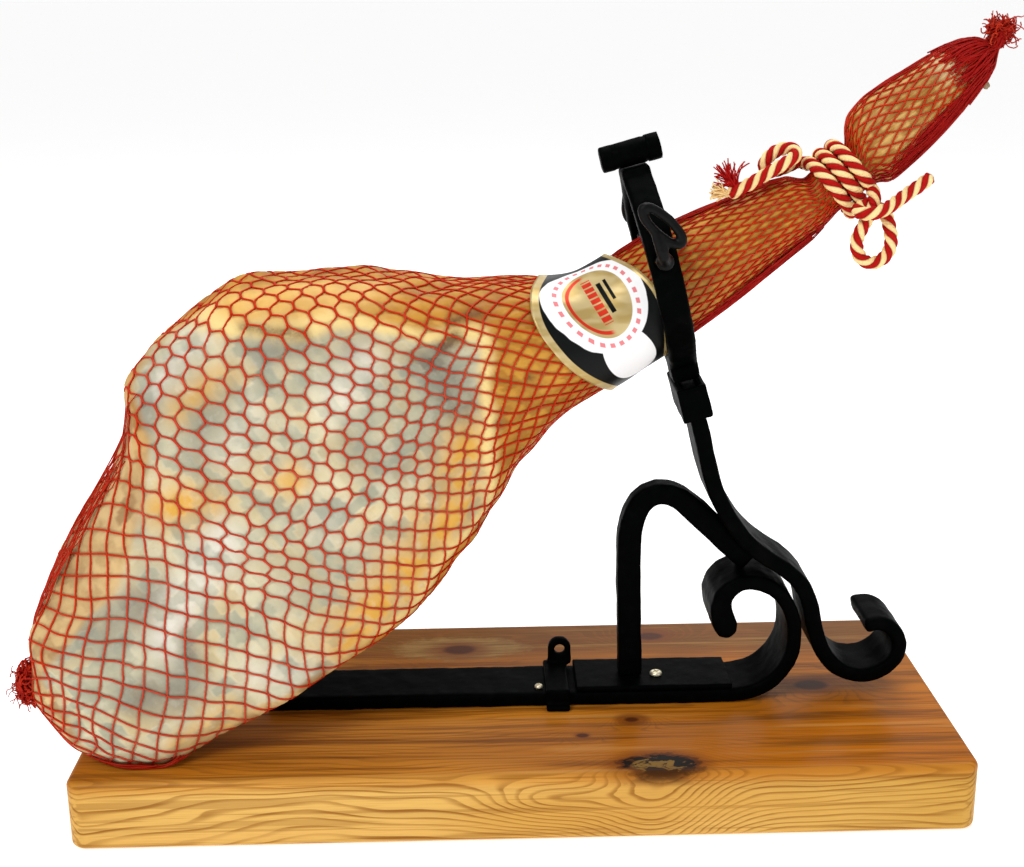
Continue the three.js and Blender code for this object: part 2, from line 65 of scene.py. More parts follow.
# Ham: where it lies, and its edges and faces along its length, from the rump end to the hock.
# length, lower edge, upper edge, front (lean) face, back (skin) face
HAM = {"root": (-278, 80), "angle": math.radians(32.6), "length": 632, "rump_rise": 0.42}
HAM_STATIONS = np.array([
    [0, -10, -10, -50, -50],
    [13, -51, 6, -81, -18],
    [33, -73.6, 31, -89, 15],
    [50, -85.4, 43, -89, 34],
    [75, -89, 57, -87, 46],
    [128, -94, 84, -83, 58],
    [150, -94, 108, -81, 61],
    [178, -92.5, 116, -80, 64],
    [215, -86, 116, -77, 64],
    [252, -73.5, 102, -71, 61],
    [298, -54, 69, -58, 53],
    [343, -49, 34, -42, 40],
    [382, -50, 14, -32, 32],
    [430, -47.5, 10, -28, 28],
    [480, -42, 1.5, -22, 22],
    [504, -39.6, -3.5, -18, 18],
    [513, -37, -10.3, -13.8, 13.8],
    [519, -35, -9.3, -12.9, 12.9],
    [533, -33.6, -8.6, -12.9, 12.9],
    [540, -32.2, -7.6, -13, 13],
    [546, -33.6, 2, -15.5, 15.5],
    [551, -36.4, 6.5, -18.5, 18.5],
    [565, -34, 10, -20, 20],
    [602, -24.5, 10, -15.5, 15.5],
    [624, -15, 4.5, -9, 9],
    [632, -7, -5, -1, 1],
], dtype=float)
HAM_ROWS, HAM_COLUMNS = 330, 262
# Places on the lean side are length along the ham and height across it.
# Outline of the cut lean face
LEAN_OUTLINE = np.array([
    (149, 106), (169, 113), (190, 115), (205, 108), (220, 98), (260, 74), (288, 51), (304, 37), (313, 22),
    (311, 7), (304, -9), (290, -29), (271, -51), (248, -60), (221, -72), (189, -81), (150, -84),
    (114, -82), (66, -84), (40, -80), (12, -60), (23, 3), (54, 12), (83, 20), (104, 31), (128, 54), (145, 80),
], dtype=float)

# Line of sinew sunk into the lean face
SINEW = [(222, 99), (236, 88), (248, 78)]
# Patches on the lean side: how strong and wide each is, and the places that it runs through
HAM_PATCHES = {
    "white": [
        (1.0, 12, [(150, 12), (117, -2), (92, -16)]), (0.9, 11, [(264, 48), (242, 42)]),
        (0.7, 8, [(212, 110), (190, 106), (166, 98)]), (0.5, 9, [(205, 62), (180, 50)]),
        (0.6, 10, [(136, -76), (120, -60)]), (0.5, 12, [(200, -12)]),
    ],
    "gold": [
        (1.0, 11, [(133, 45), (152, 36)]), (1.0, 9, [(199, 20)]), (0.8, 10, [(60, -72), (96, -76)]),
        (1.0, 17, [(284, -22), (256, -46), (214, -62), (170, -76)]), (0.7, 9, [(170, 84), (200, 84)]),
    ],
    "grey": [
        (1.0, 13, [(292, 28), (292, 4)]), (0.9, 10, [(225, 84), (244, 77)]), (0.8, 9, [(262, 58)]),
        (0.8, 13, [(61, 8), (100, 8)]), (0.8, 14, [(60, -34), (84, -40)]), (0.8, 8, [(150, 86), (160, 96)]),
        (0.6, 10, [(165, 58), (186, 72)]), (0.5, 12, [(236, 10), (250, -8)]),
    ],
    "dark": [
        (1.0, 4, [(309, 31), (303, 31)]), (0.7, 3, SINEW), (0.8, 2.4, [(330, -10)]),
        (0.5, 4, [(104, -18), (98, -30)]), (0.8, 2.4, [(311, 39), (326, 33)]), (0.6, 3, [(303, -21)]),
    ],
    "fat": [(0.9, 13, [(176, 124), (215, 116), (255, 98), (284, 78)])],
}

# Net: cells round the ham, thickness of thread, how far a row of thread reaches to its neighbours, and
# points in each cell
NET = {"round": 29, "thread": 0.82, "reach": 0.475, "points": 12}
# The knot at the rump: threads wound into it, short loose ones and long ones.
# The tuft past the hock: threads drawn together to it and frayed ones, none of them over its top.
RUMP_KNOT = {"middle": np.array([-270.5, -68, 86]), "size": np.array([7.5, 8, 14]),
             "wound": 300, "loose": 60, "long": 5}
HOCK_TUFT = {"neck": np.array([258.5, 0, 417.5]), "middle": np.array([261.0, 0, 425.0]), "top": 441.5,
             "drawn": 230, "frayed": 330}
# Folds of slack net: threads, reach along the ham, turns round it from the top to the front, and depth
# of their dark colour, for bunched net and partly painted shade
GATHERS = [
    (80, 397, 508, (140, 200), 0.9),
    (60, 400, 508, (-40, 8), 0.8),
    (150, 549, 622, (112, 215), 1.0),
    (40, 550, 606, (-30, 14), 0.8),
    (90, 604, 628, (0, 360), 0.95),
    (44, 6, 158, (-60, 34), 0.25),
    (70, 4, 62, (125, 215), 0.5),
]

# Label: edges along the ham, how far they swell at the front, and its paper
LABEL = {"from": 361, "to": 398, "widest": math.radians(75), "bulge": 14, "lift": 1.0, "paper": 0.8}

# Rope: thickness, winding round the hock, and the points that its free lengths follow
ROPE = {
    "diameter": 7.6, "strands": 4, "lay": 18.5, "winding": 18.2, "pitch": 7.8, "middle": (528.5, -21.5),
    "turns": (math.radians(-30), math.radians(840)), "tilt": math.radians(3), "step": 1.25, "sides": 28,
}
ROPE_START = [
    (114.7, -14.0, 341.1), (123.1, -14.5, 345.3), (131.5, -15.0, 350.1), (139.3, -16.0, 355.0),
    (146.1, -16.0, 358.9), (151.2, -12.6, 362.0), (150.4, -8.0, 364.6), (145.6, -5.4, 364.8),
    (140.5, -5.4, 362.8), (136.6, -6.4, 359.4), (135.5, -4.5, 355.3), (141.1, 1.0, 351.9),
    (149.8, 6.0, 353.4), (158.1, 9.0, 356.3),
]
ROPE_FINISH = [
    (192.5, -21.5, 340.5), (190.5, -26.5, 334), (185.8, -28, 325.5), (182.6, -28, 317), (185, -28, 308.6),
    (191.5, -28, 305.2), (198.4, -28, 308.4), (201.4, -28, 315.8), (200, -27, 325.5), (197.4, -24.4, 332.6),
    (190.5, -22, 336), (183.6, -25.5, 335), (182.6, -32.4, 333), (190, -35.6, 333.4), (197.4, -33, 336),
    (203, -30, 339), (208.5, -28, 342.4), (214.5, -28, 346.4), (221.4, -28, 351.8),
]

# Frayed ends: how red, where each starts, the way it points, and its length
ROPE_FRAYS = [(0.0, (115.5, -14, 341.6), (-1.0, 0, 0.10), 11),
              (1.0, (119.5, -14, 344.5), (-0.62, 0, 0.80), 16)]

# Board. Knots in its top: place, size, and how far each darkens the wood. The bark knot is the open one by
# the front edge, the eye is where the rings bow on the front, and the swirl is pale wood behind the iron.
BOARD = {"length": 500, "width": 200, "height": 40, "corner": 9, "edge": 3.4}
KNOTS = [
    (74, -92, 14, 24), (64, -38, 4.5, 9), (34, -56, 3.2, 6),
    (178, 2, 8, 17), (-37, 62, 9, 20), (88, 78, 7, 18),
]
BARK_KNOT = {"x": 75, "y": -91, "reach": 19}
EYE = {"x": 13, "y": -100, "z": 24}
SWIRL = {"x": -38, "y": 64, "reach": 30}
RING_WIDTH = 2.6

# Iron: the radius of the pin in the head's barrel, a little under the barrel's own
BARREL_PIN = 6.9

# Dry scrap under the hock
SCRAP = {"place": np.array([253, -3, 398.6]), "size": np.array([4.6, 3, 2.2]), "turn": math.radians(-52)}


# Small helpers
def smoothstep(x, low, high):
    t = np.clip((np.asarray(x, float) - low) / (high - low), 0, 1)
    return t * t * (3 - 2 * t)


def unit(vectors):
    return vectors / np.maximum(np.linalg.norm(vectors, axis=-1, keepdims=True), 1e-12)


def lumps(points, size, seed, count=28):
    """Smooth random bumps, about that size across and about -1 to 1 high."""
    draw = np.random.default_rng(seed)
    ways = unit(draw.normal(size=(count, points.shape[-1])))
    wave = TAU / (size * draw.uniform(0.7, 1.5, count))
    phase = draw.uniform(0, TAU, count)
    return np.cos(points @ (ways * wave[:, None]).T + phase).sum(axis=-1) * math.sqrt(1 / count)


def select_only(piece):
    for other in bpy.context.selected_objects:
        other.select_set(False)
    piece.select_set(True)
    bpy.context.view_layer.objects.active = piece


def edit_all(piece):
    """Edit mode with the whole piece selected."""
    select_only(piece)
    bpy.ops.object.mode_set(mode="EDIT")
    bpy.ops.mesh.select_all(action="SELECT")


def bevel_edges(piece, test, width, segments):
    """Bevel the edges whose two ends pass the test."""
    select_only(piece)
    bpy.ops.object.mode_set(mode="EDIT")
    bpy.ops.mesh.select_mode(type="EDGE")
    bpy.ops.mesh.select_all(action="DESELECT")
    bpy.ops.object.mode_set(mode="OBJECT")
    points = piece.data.vertices
    for edge in piece.data.edges:
        edge.select = test(*(points[k].co / MM for k in edge.vertices))
    bpy.ops.object.mode_set(mode="EDIT")
    bpy.ops.mesh.bevel(offset=width, segments=segments, affect="EDGES")
    bpy.ops.object.mode_set(mode="OBJECT")


def apply_modifier(piece, kind, **settings):
    select_only(piece)
    modifier = piece.modifiers.new(kind.lower(), kind)
    for key, value in settings.items():
        setattr(modifier, key, value)
    bpy.ops.object.modifier_apply(modifier=modifier.name)


def mesh_array(data, key):
    """One value of every vertex, as rows of three."""
    numbers = np.empty(len(data) * 3)
    data.foreach_get(key, numbers)
    return numbers.reshape(-1, 3)


class Heap:
    """Points and faces of one piece, added bit by bit, with named values at each point."""

    def __init__(self):
        self.points, self.faces, self.values, self.count = [], [], {}, 0

    def add(self, points, faces, **values):
        self.points.append(points)
        self.faces.append(np.asarray(faces) + self.count)
        for key, value in values.items():
            self.values.setdefault(key, []).append(np.broadcast_to(value, len(points)))
        self.count += len(points)

    def piece(self, name, material, slot, replaces=()):
        mesh = bpy.data.meshes.new(name)
        points = np.concatenate(self.points) * MM
        faces = [face for group in self.faces for face in group.tolist()]
        mesh.from_pydata(points.tolist(), [], faces)
        for key, value in self.values.items():
            layer = mesh.attributes.new(key, "FLOAT", "POINT")
            layer.data.foreach_set("value", np.concatenate(value).astype(np.float32))
        mesh.polygons.foreach_set("use_smooth", [True] * len(mesh.polygons))
        mesh.update()
        piece = bpy.data.objects.new(name, mesh)
        bpy.context.scene.collection.objects.link(piece)
        return placed(piece, material, replaces)


def placed(piece, material, replaces=(), body="stand"):
    """Gives a finished piece its material and body, and hides the nodes that it stands for."""
    piece.data.materials.clear()
    piece.data.materials.append(material)
    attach(piece, body)
    if replaces:
        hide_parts(*replaces)
    return piece


def grid_faces(rows, columns, round_columns, round_rows=False):
    """Faces of a grid of points, whose rows or columns may close on themselves."""
    r = np.arange(rows if round_rows else rows - 1)[:, None]
    c = np.arange(columns if round_columns else columns - 1)[None, :]
    r2, c2 = (r + 1) % rows, (c + 1) % columns
    corners = [r * columns + c, r * columns + c2, r2 * columns + c2, r2 * columns + c]
    return np.stack([np.broadcast_to(k, (r.shape[0], c.shape[1])) for k in corners], -1).reshape(-1, 4)


def carried_frames(path):
    """Two directions square to the path at each point, carried along it without twist."""
    tangents = unit(np.gradient(path, axis=0))
    side = np.cross(tangents[0], (0.31, 0.52, 0.8))
    sides = []
    for tangent in tangents:
        side = side - tangent * (side @ tangent)
        side = side / np.linalg.norm(side)
        sides.append(side)
    sides = np.array(sides)
    return sides, np.cross(tangents, sides)


def add_thread(heap, path, radius, sides=4, **values):
    """A thin closed tube along an open path, its ends closed with flat caps."""
    across, upward = carried_frames(path)
    turn = np.arange(sides) * TAU / sides
    radius = np.broadcast_to(radius, len(path))[:, None, None]
    ring = across[:, None] * np.cos(turn)[None, :, None] + upward[:, None] * np.sin(turn)[None, :, None]
    points = (path[:, None] + ring * radius).reshape(-1, 3)
    heap.add(points, grid_faces(len(path), sides, True), **values)
    first = np.arange(sides)[::-1] - len(points)
    last = np.arange(sides) - sides
    heap.faces.append(np.array([first, last]) + heap.count)


def smooth_path(points, step):
    """Rounded curve through points, with a point at every step along it."""
    points = np.asarray(points, float)
    whole = np.concatenate([[2 * points[0] - points[1]], points, [2 * points[-1] - points[-2]]])
    t = np.linspace(0, 1, 24, endpoint=False)[:, None]
    bits = []
    for a, b, c, d in zip(whole, whole[1:], whole[2:], whole[3:]):
        bits.append(0.5 * (2 * b + (c - a) * t + (2 * a - 5 * b + 4 * c - d) * t**2
                           + (3 * b - a - 3 * c + d) * t**3))
    return even_path(np.concatenate(bits + [points[-1:]]), step)


def even_path(path, step):
    far = np.concatenate([[0], np.cumsum(np.linalg.norm(np.diff(path, axis=0), axis=1))])
    stops = np.linspace(0, far[-1], max(int(round(far[-1] / step)), 2) + 1)
    return np.stack([np.interp(stops, far, path[:, k]) for k in range(3)], -1)


# Shader maths
class Wire:
    """A value in a material's node tree. Arithmetic on it adds Math nodes."""

    def __init__(self, paint, socket):
        self.paint, self.socket = paint, socket

    def math(self, operation, *others, clamp=False):
        return self.paint.math(operation, self, *others, clamp=clamp)

    def __add__(self, other):
        return self.math("ADD", other)

    def __sub__(self, other):
        return self.math("SUBTRACT", other)

    def __rsub__(self, other):
        return self.paint.math("SUBTRACT", other, self)

    def __mul__(self, other):
        return self.math("MULTIPLY", other)

    def __truediv__(self, other):
        return self.math("DIVIDE", other)

    def __pow__(self, other):
        return self.math("POWER", other)

    __radd__, __rmul__ = __add__, __mul__

    def clamp(self):
        return self.math("ADD", 0.0, clamp=True)

    def step(self, low, high):
        """0 below low, 1 above high, and smooth between."""
        settings = {"interpolation_type": "SMOOTHSTEP"}
        return self.paint.node("ShaderNodeMapRange", settings, {0: self, 1: low, 2: high})

    def bump(self, strength, distance):
        values = {"Strength": strength, "Distance": distance * MM, "Height": self}
        return self.paint.node("ShaderNodeBump", {}, values)


class Paint:
    """One material: a Principled shader and the nodes that feed it."""

    def __init__(self, name, **constants):
        self.material = bpy.data.materials.new(name)
        self.material.use_nodes = True
        self.tree = self.material.node_tree
        self.tree.nodes.clear()
        self.shader = self.tree.nodes.new("ShaderNodeBsdfPrincipled")
        output = self.tree.nodes.new("ShaderNodeOutputMaterial")
        self.tree.links.new(self.shader.outputs[0], output.inputs[0])
        for key, value in constants.items():
            self.shader.inputs[key.replace("_", " ")].default_value = value

    def node(self, kind, settings=None, values=None, output=0):
        node = self.tree.nodes.new(kind)
        for key, value in (settings or {}).items():
            setattr(node, key, value)
        for key, value in (values or {}).items():
            self.feed(node.inputs[key], value)
        return Wire(self, node.outputs[output])

    def feed(self, socket, value):
        if isinstance(value, Wire):
            self.tree.links.new(value.socket, socket)
        elif isinstance(value, tuple) and socket.type == "RGBA" and len(value) == 3:
            socket.default_value = (*value, 1)
        else:
            socket.default_value = value

    def math(self, operation, *values, clamp=False):
        settings = {"operation": operation, "use_clamp": clamp}
        return self.node("ShaderNodeMath", settings, dict(enumerate(values)))

    def attributes(self, *names):
        return [self.node("ShaderNodeAttribute", {"attribute_name": name}, output="Fac") for name in names]

    def place(self, stretch=(1, 1, 1), shift=(0, 0, 0)):
        """Object coordinates in millimetres, stretched and shifted."""
        coordinates = self.node("ShaderNodeTexCoord", output="Object")
        values = {"Vector": coordinates, "Scale": tuple(k / MM for k in stretch), "Location": tuple(shift)}
        return self.node("ShaderNodeMapping", {}, values)

    def split(self, vector):
        node = self.tree.nodes.new("ShaderNodeSeparateXYZ")
        self.feed(node.inputs[0], vector)
        return [Wire(self, socket) for socket in node.outputs]

    def noise(self, place, size, detail=2.0, rough=0.5, warp=0.0):
        values = {"Vector": place, "Scale": 1 / size, "Detail": detail, "Roughness": rough,
                  "Distortion": warp}
        return self.node("ShaderNodeTexNoise", {}, values)

    def mix(self, amount, first, second, blend="MIX"):
        settings = {"data_type": "RGBA", "blend_type": blend, "clamp_factor": True}
        return self.node("ShaderNodeMix", settings, {0: amount, 6: first, 7: second}, output=2)

    def layer(self, first, *layers):
        """Colours laid over the first one, each as far as its amount says."""
        for amount, color in layers:
            first = self.mix(amount, first, color)
        return first

    def finish(self, color, roughness=None, normal=None, metal=None):
        feeds = {"Base Color": color, "Roughness": roughness, "Normal": normal, "Metallic": metal}
        for key, value in feeds.items():
            if value is not None:
                self.feed(self.shader.inputs[key], value)
        return self.material


# Camera, floor and light
def set_camera():
    yaw, pitch, roll = (math.radians(CAMERA[key]) for key in ("yaw", "pitch", "roll"))
    forward = Vector((math.sin(yaw) * math.cos(pitch), math.cos(yaw) * math.cos(pitch), -math.sin(pitch)))
    level = Vector((math.cos(yaw), -math.sin(yaw), 0))
    above = level.cross(forward)
    right = level * math.cos(roll) + above * math.sin(roll)
    top = above * math.cos(roll) - level * math.sin(roll)
    data = bpy.data.cameras.new("camera")
    data.lens, data.sensor_width, data.sensor_fit = CAMERA["lens"], FILM_WIDTH, "HORIZONTAL"
    camera = bpy.data.objects.new("camera", data)
    bpy.context.scene.collection.objects.link(camera)
    turn = Matrix((right, top, -forward)).transposed().to_4x4()
    camera.matrix_world = Matrix.Translation(Vector(CAMERA["place"]) * MM) @ turn
    bpy.context.scene.camera = camera


def add_lamp(name, place, width, power):
    data = bpy.data.lights.new(name, "AREA")
    data.shape, data.size, data.energy = "DISK", width, power
    lamp = bpy.data.objects.new(name, data)
    bpy.context.scene.collection.objects.link(lamp)
    lamp.location = place
    lamp.rotation_euler = (Vector((0, 0, 0.2)) - Vector(place)).to_track_quat("-Z", "Y").to_euler()


def set_studio():
    bpy.ops.mesh.primitive_circle_add(vertices=64, radius=FLOOR["radius"], fill_type="NGON",
                                      location=(0, 0, -FLOOR["below"]))
    floor = bpy.context.object
    floor.name = "floor"
    paint = Paint("pale_floor", Roughness=0.8, Specular_IOR_Level=0.1, Emission_Color=(1, 1, 1, 1),
                  Emission_Strength=FLOOR["glow"])
    shade = paint.noise(paint.place(), 260, 1.0)
    floor.data.materials.append(paint.finish(paint.mix(shade, (0.90, 0.90, 0.90), (0.93, 0.93, 0.93))))
    world = bpy.data.worlds.new("studio")
    world.use_nodes = True
    tree = world.node_tree
    sky = tree.nodes["Background"]
    sky.inputs["Color"].default_value = (1, 1, 1, 1)
    # The sky lights the object softly, and shows white behind it
    ray = tree.nodes.new("ShaderNodeLightPath")
    strength = tree.nodes.new("ShaderNodeMath")
    strength.operation = "MULTIPLY_ADD"
    strength.inputs[1].default_value = 1 - SKY_LIGHT
    strength.inputs[2].default_value = SKY_LIGHT
    tree.links.new(ray.outputs["Is Camera Ray"], strength.inputs[0])
    tree.links.new(strength.outputs[0], sky.inputs["Strength"])
    bpy.context.scene.world = world
    bpy.context.scene.view_settings.view_transform = "Standard"
    for name, lamp in LAMPS.items():
        add_lamp(name, *lamp)


# Ham surface
def smooth_curve(xs, ys, x):
    """Monotone cubic through the pairs, which never overshoots them."""
    slopes = np.diff(ys) / np.diff(xs)
    tangents = np.empty_like(ys)
    tangents[0], tangents[-1] = slopes[0], slopes[-1]
    a, b = slopes[:-1], slopes[1:]
    same_way = a * b > 0
    tangents[1:-1] = np.where(same_way, 2 * a * b / np.where(same_way, a + b, 1), 0)
    i = np.clip(np.searchsorted(xs, x, side="left") - 1, 0, len(xs) - 2)
    width = xs[i + 1] - xs[i]
    t = np.clip((x - xs[i]) / width, 0, 1)
    return ((2 * t**3 - 3 * t**2 + 1) * ys[i] + (t**3 - 2 * t**2 + t) * width * tangents[i]
            + (3 * t**2 - 2 * t**3) * ys[i + 1] + (t**3 - t**2) * width * tangents[i + 1])


def arc_parameter(s):
    return np.arccos(np.clip(1 - 2 * s / HAM["length"], -1, 1))


def ham_section(s, angle, lift=0.0):
    """Height across the ham and depth through it, at a length and a turn from the top to the front."""
    xs = arc_parameter(HAM_STATIONS[:, 0])
    lower, upper, front, back = (smooth_curve(xs, HAM_STATIONS[:, k], arc_parameter(s)) for k in range(1, 5))
    flatness = 1 - smoothstep(s, 250, 400)
    rumpness = 1 - smoothstep(s, 60, 230)
    up, side = np.cos(angle), np.sin(angle)
    corner = np.where((side > 0) & (up < 0), 0.24 * (1 - smoothstep(s, 150, 330)), 0)
    power = 1 - flatness * np.where(side > 0, 0.42, 0.16) - corner
    y = (front + back) / 2 - ((back - front) / 2 + lift) * np.sign(side) * np.abs(side) ** power
    rise = np.where(up < 0, -up * rumpness * HAM["rump_rise"] * (y - front), 0)
    h = (upper + lower) / 2 + ((upper - lower) / 2 + lift) * np.sign(up) * np.abs(up) ** power + rise
    return h, y


def ham_point(s, h, y):
    cos, sin = math.cos(HAM["angle"]), math.sin(HAM["angle"])
    x = HAM["root"][0] + s * cos - h * sin
    z = HAM["root"][1] + s * sin + h * cos
    return np.stack(np.broadcast_arrays(x, y, z), -1)


def even_angles(s, columns):
    """Turns round the ham at one length whose points lie evenly on its outline."""
    t = np.linspace(0, TAU, 1441)
    dense = t - 0.245 * np.sin(4 * t)
    h, y = ham_section(s, dense)
    far = np.concatenate([[0], np.cumsum(np.hypot(np.diff(h), np.diff(y)))])
    return np.interp(np.arange(columns) / columns * far[-1], far, dense)


def meridian():
    """Lengths along the ham against the distance over its surface from the rump end."""
    t = np.linspace(0, math.pi, 3001)
    s = HAM["length"] * (1 - np.cos(t)) / 2
    far = np.zeros_like(s)
    turns = np.arange(8) * TAU / 8
    for angle in turns:
        points = ham_point(s, *ham_section(s, angle))
        far[1:] += np.cumsum(np.linalg.norm(np.diff(points, axis=0), axis=1)) / len(turns)
    return far, s


def net_step(s):
    """Distance between rows of thread."""
    return (6.25 + 1.8 * (1 - smoothstep(s, 90, 190)) + 0.95 * smoothstep(s, 300, 420)
            - 1.0 * smoothstep(s, 525, 560))


def net_rows(far, s):
    """How many rows of thread lie before each distance over the surface."""
    step = net_step(s)
    middle = np.diff(far) / ((step[1:] + step[:-1]) / 2)
    return np.concatenate([[0], np.cumsum(middle)])


def outline_distance(points, outline):
    """Distance to a closed outline, positive inside it."""
    x, y = points[..., 0], points[..., 1]
    nearest = np.full(x.shape, 1e9)
    inside = np.zeros(x.shape, bool)
    for (ax, ay), (bx, by) in zip(outline, np.roll(outline, -1, axis=0)):
        nearest = np.minimum(nearest, line_distance(x, y, ax, ay, bx, by))
        crosses = (ay > y) != (by > y)
        inside ^= crosses & (x < (bx - ax) * (y - ay) / (by - ay + 1e-12) + ax)
    return np.where(inside, nearest, -nearest)


def line_distance(x, y, ax, ay, bx, by):
    length = max((bx - ax) ** 2 + (by - ay) ** 2, 1e-9)
    t = np.clip(((x - ax) * (bx - ax) + (y - ay) * (by - ay)) / length, 0, 1)
    return np.hypot(x - ax - t * (bx - ax), y - ay - t * (by - ay))


def dab(s, h, path, width):
    """A soft patch along a line of places on the ham's lean side."""
    ends = zip(path, path[1:]) if len(path) > 1 else [(path[0], path[0])]
    nearest = np.min([line_distance(s, h, *a, *b) for a, b in ends], axis=0)
    return np.exp(-((nearest / width) ** 2))


def patches(s, h, kind):
    return sum(share * dab(s, h, path, width) for share, width, path in HAM_PATCHES[kind])


def net_wave(x, s):
    """Height of a row of thread between its neighbours: hexagons on the body, diamonds towards both ends."""
    turn = np.cos(TAU * x)
    hexagon = np.tanh(2.2 * turn) / np.tanh(2.2)
    diamond = np.arcsin(0.985 * turn) / np.arcsin(0.985)
    share = (x / NET["round"]) % 1
    slack = np.maximum(smoothstep(s, 245, 330), 1 - smoothstep(s, 100, 175))
    slack = np.maximum(slack, 0.85 * smoothstep(share, 0.27, 0.36))
    return hexagon + (diamond - hexagon) * slack


def net_drift(cells, rows):
    """How far the net has slipped out of even rows, in cells round it and in rows."""
    spots = np.stack([cells * 2.2, rows], -1)
    across = 0.08 * lumps(spots, 8, 31) + 0.025 * lumps(spots, 3.2, 32)
    along = 0.24 * lumps(spots, 9, 33) + 0.06 * lumps(spots, 3.4, 34)
    return across, along


def net_turn(q, s):
    """Share of the way round the ham at a share of the net's cells: the net is stretched at the front."""
    rump, hock = 1 - smoothstep(s, 90, 190), smoothstep(s, 525, 560)
    pull = 0.12 * rump + 0.40 * (1 - smoothstep(s, 12, 70)) - 0.14 * smoothstep(s, 330, 400) + 0.42 * hock
    low = -0.24 * smoothstep(s, 120, 190) * (1 - smoothstep(s, 290, 350))
    return (q + pull * np.sin(TAU * (q - 0.25 - 0.13 * rump + 0.03 * hock)) / TAU
            + low * np.sin(TAU * (q - 0.40)) / TAU)


def net_share(u, s):
    """Share of the net's cells at a share of the way round the ham."""
    q = u
    for _ in range(30):
        q = q - 0.7 * (net_turn(q, s) - u)
    return q


class HamSkin:
    """The ham's surface as a fine grid of points, with what lies on it."""

    def __init__(self):
        far, s = meridian()
        rows_far = np.linspace(1.6, far[-1] - 1.2, HAM_ROWS)
        self.s = np.interp(rows_far, far, s)
        self.row_numbers = np.interp(rows_far, far, net_rows(far, s))
        angles = np.array([even_angles(length, HAM_COLUMNS) for length in self.s])
        h, y = ham_section(self.s[:, None], angles)
        points = ham_point(self.s[:, None], h, y)
        normals = self.normals_of(points)
        s_grid = np.broadcast_to(self.s[:, None], h.shape)
        self.front = smoothstep(-normals[..., 1], 0.0, 0.3)
        wander = 3 * lumps(points, 46, 5)
        inside = outline_distance(np.stack([s_grid, h], -1), LEAN_OUTLINE) + wander
        self.lean = smoothstep(inside, -2, 3) * self.front
        self.rim = np.exp(-((inside + 1.5) / 4) ** 2) * self.front * smoothstep(s_grid, 150, 210)
        facing = smoothstep(-normals[..., 1], -0.2, 0.3)
        self.rump = (1 - self.lean) * facing * (1 - smoothstep(s_grid, 130, 165))
        body = 1 - smoothstep(s_grid, 330, 420)
        relief = (-0.7 - 2.4 * smoothstep(inside, -3, 7) * self.front + 0.9 * self.rim
                  + (0.5 + 1.1 * body) * lumps(points, 75, 6) + (0.25 + 0.5 * body) * lumps(points, 24, 7)
                  + self.lean * 0.35 * lumps(points, 10, 8))
        relief *= smoothstep(s_grid, 2, 24) * (1 - 0.7 * smoothstep(s_grid, 500, 520))
        relief -= 1.6 * dab(s_grid, h, SINEW, 3.5) * self.front
        self.base = points + normals * relief[..., None]
        self.normals = self.normals_of(self.base)
        self.s_grid, self.h = s_grid, h
        self.quilt()

    def normals_of(self, points):
        along = np.gradient(points, axis=0)
        round_it = np.roll(points, -1, axis=1) - np.roll(points, 1, axis=1)
        return unit(np.cross(round_it, along))

    def quilt(self):
        """Each cell of the net lets the meat swell a little between its threads."""
        cells = net_share(np.arange(HAM_COLUMNS)[None, :] / HAM_COLUMNS, self.s[:, None]) * NET["round"]
        rows = np.broadcast_to(self.row_numbers[:, None], self.h.shape)
        across, along = net_drift(cells, rows)
        x, v = cells + across, rows + along
        ring = np.linalg.norm(np.diff(self.base, axis=1, append=self.base[:, :1]), axis=-1).sum(axis=1)
        period = (ring / NET["round"])[:, None]
        step = net_step(self.s_grid)
        slope = (net_wave(x + 0.01, self.s_grid) - net_wave(x - 0.01, self.s_grid)) / 0.02 * step / 2 / period
        gap = np.full(x.shape, 1e9)
        for offset in (-1, 0, 1):
            k = np.floor(v) + offset
            ring_row = k + 0.5 + NET["reach"] * net_wave(x, self.s_grid) * np.where(k % 2 == 0, 1, -1)
            gap = np.minimum(gap, np.abs(v - ring_row) * step / np.sqrt(1 + slope**2))
        self.gap = gap
        swell = smoothstep(gap, 0.2, 3.4) * (0.75 - 0.35 * smoothstep(self.s_grid, 330, 420))
        self.points = self.base + self.normals * swell[..., None] * smoothstep(self.s_grid, 8, 30)[..., None]
        even = np.round(v / 2) * 2
        odd = np.round((v - 1) / 2) * 2 + 1
        near_x = np.round(x)
        near_half = np.round(x - 0.5) + 0.5
        to_even = np.hypot((v - even) * 0.9, (x - near_half) * 3.0)
        to_odd = np.hypot((v - odd) * 0.9, (x - near_x) * 3.0)
        row_id = np.where(to_even < to_odd, even, odd)
        cell_id = np.where(to_even < to_odd, near_half, near_x) % NET["round"]
        draw = np.sin(row_id * 12.9898 + cell_id * 78.233) * 43758.5453
        self.tone = 2 * (draw - np.floor(draw)) - 1

    def at(self, cells, rows, grid):
        """The grid's value at places on the net, between its points."""
        r = np.interp(rows, self.row_numbers, np.arange(HAM_ROWS))
        s = np.interp(rows, self.row_numbers, self.s)
        c = (net_turn(cells / NET["round"], s) * HAM_COLUMNS) % HAM_COLUMNS
        r0 = np.clip(np.floor(r).astype(int), 0, HAM_ROWS - 2)
        c0 = np.floor(c).astype(int) % HAM_COLUMNS
        c1 = (c0 + 1) % HAM_COLUMNS
        fr, fc = r - r0, c - np.floor(c)
        if grid.ndim == 3:
            fr, fc = fr[..., None], fc[..., None]
        low = grid[r0, c0] * (1 - fc) + grid[r0, c1] * fc
        high = grid[r0 + 1, c0] * (1 - fc) + grid[r0 + 1, c1] * fc
        return low * (1 - fr) + high * fr


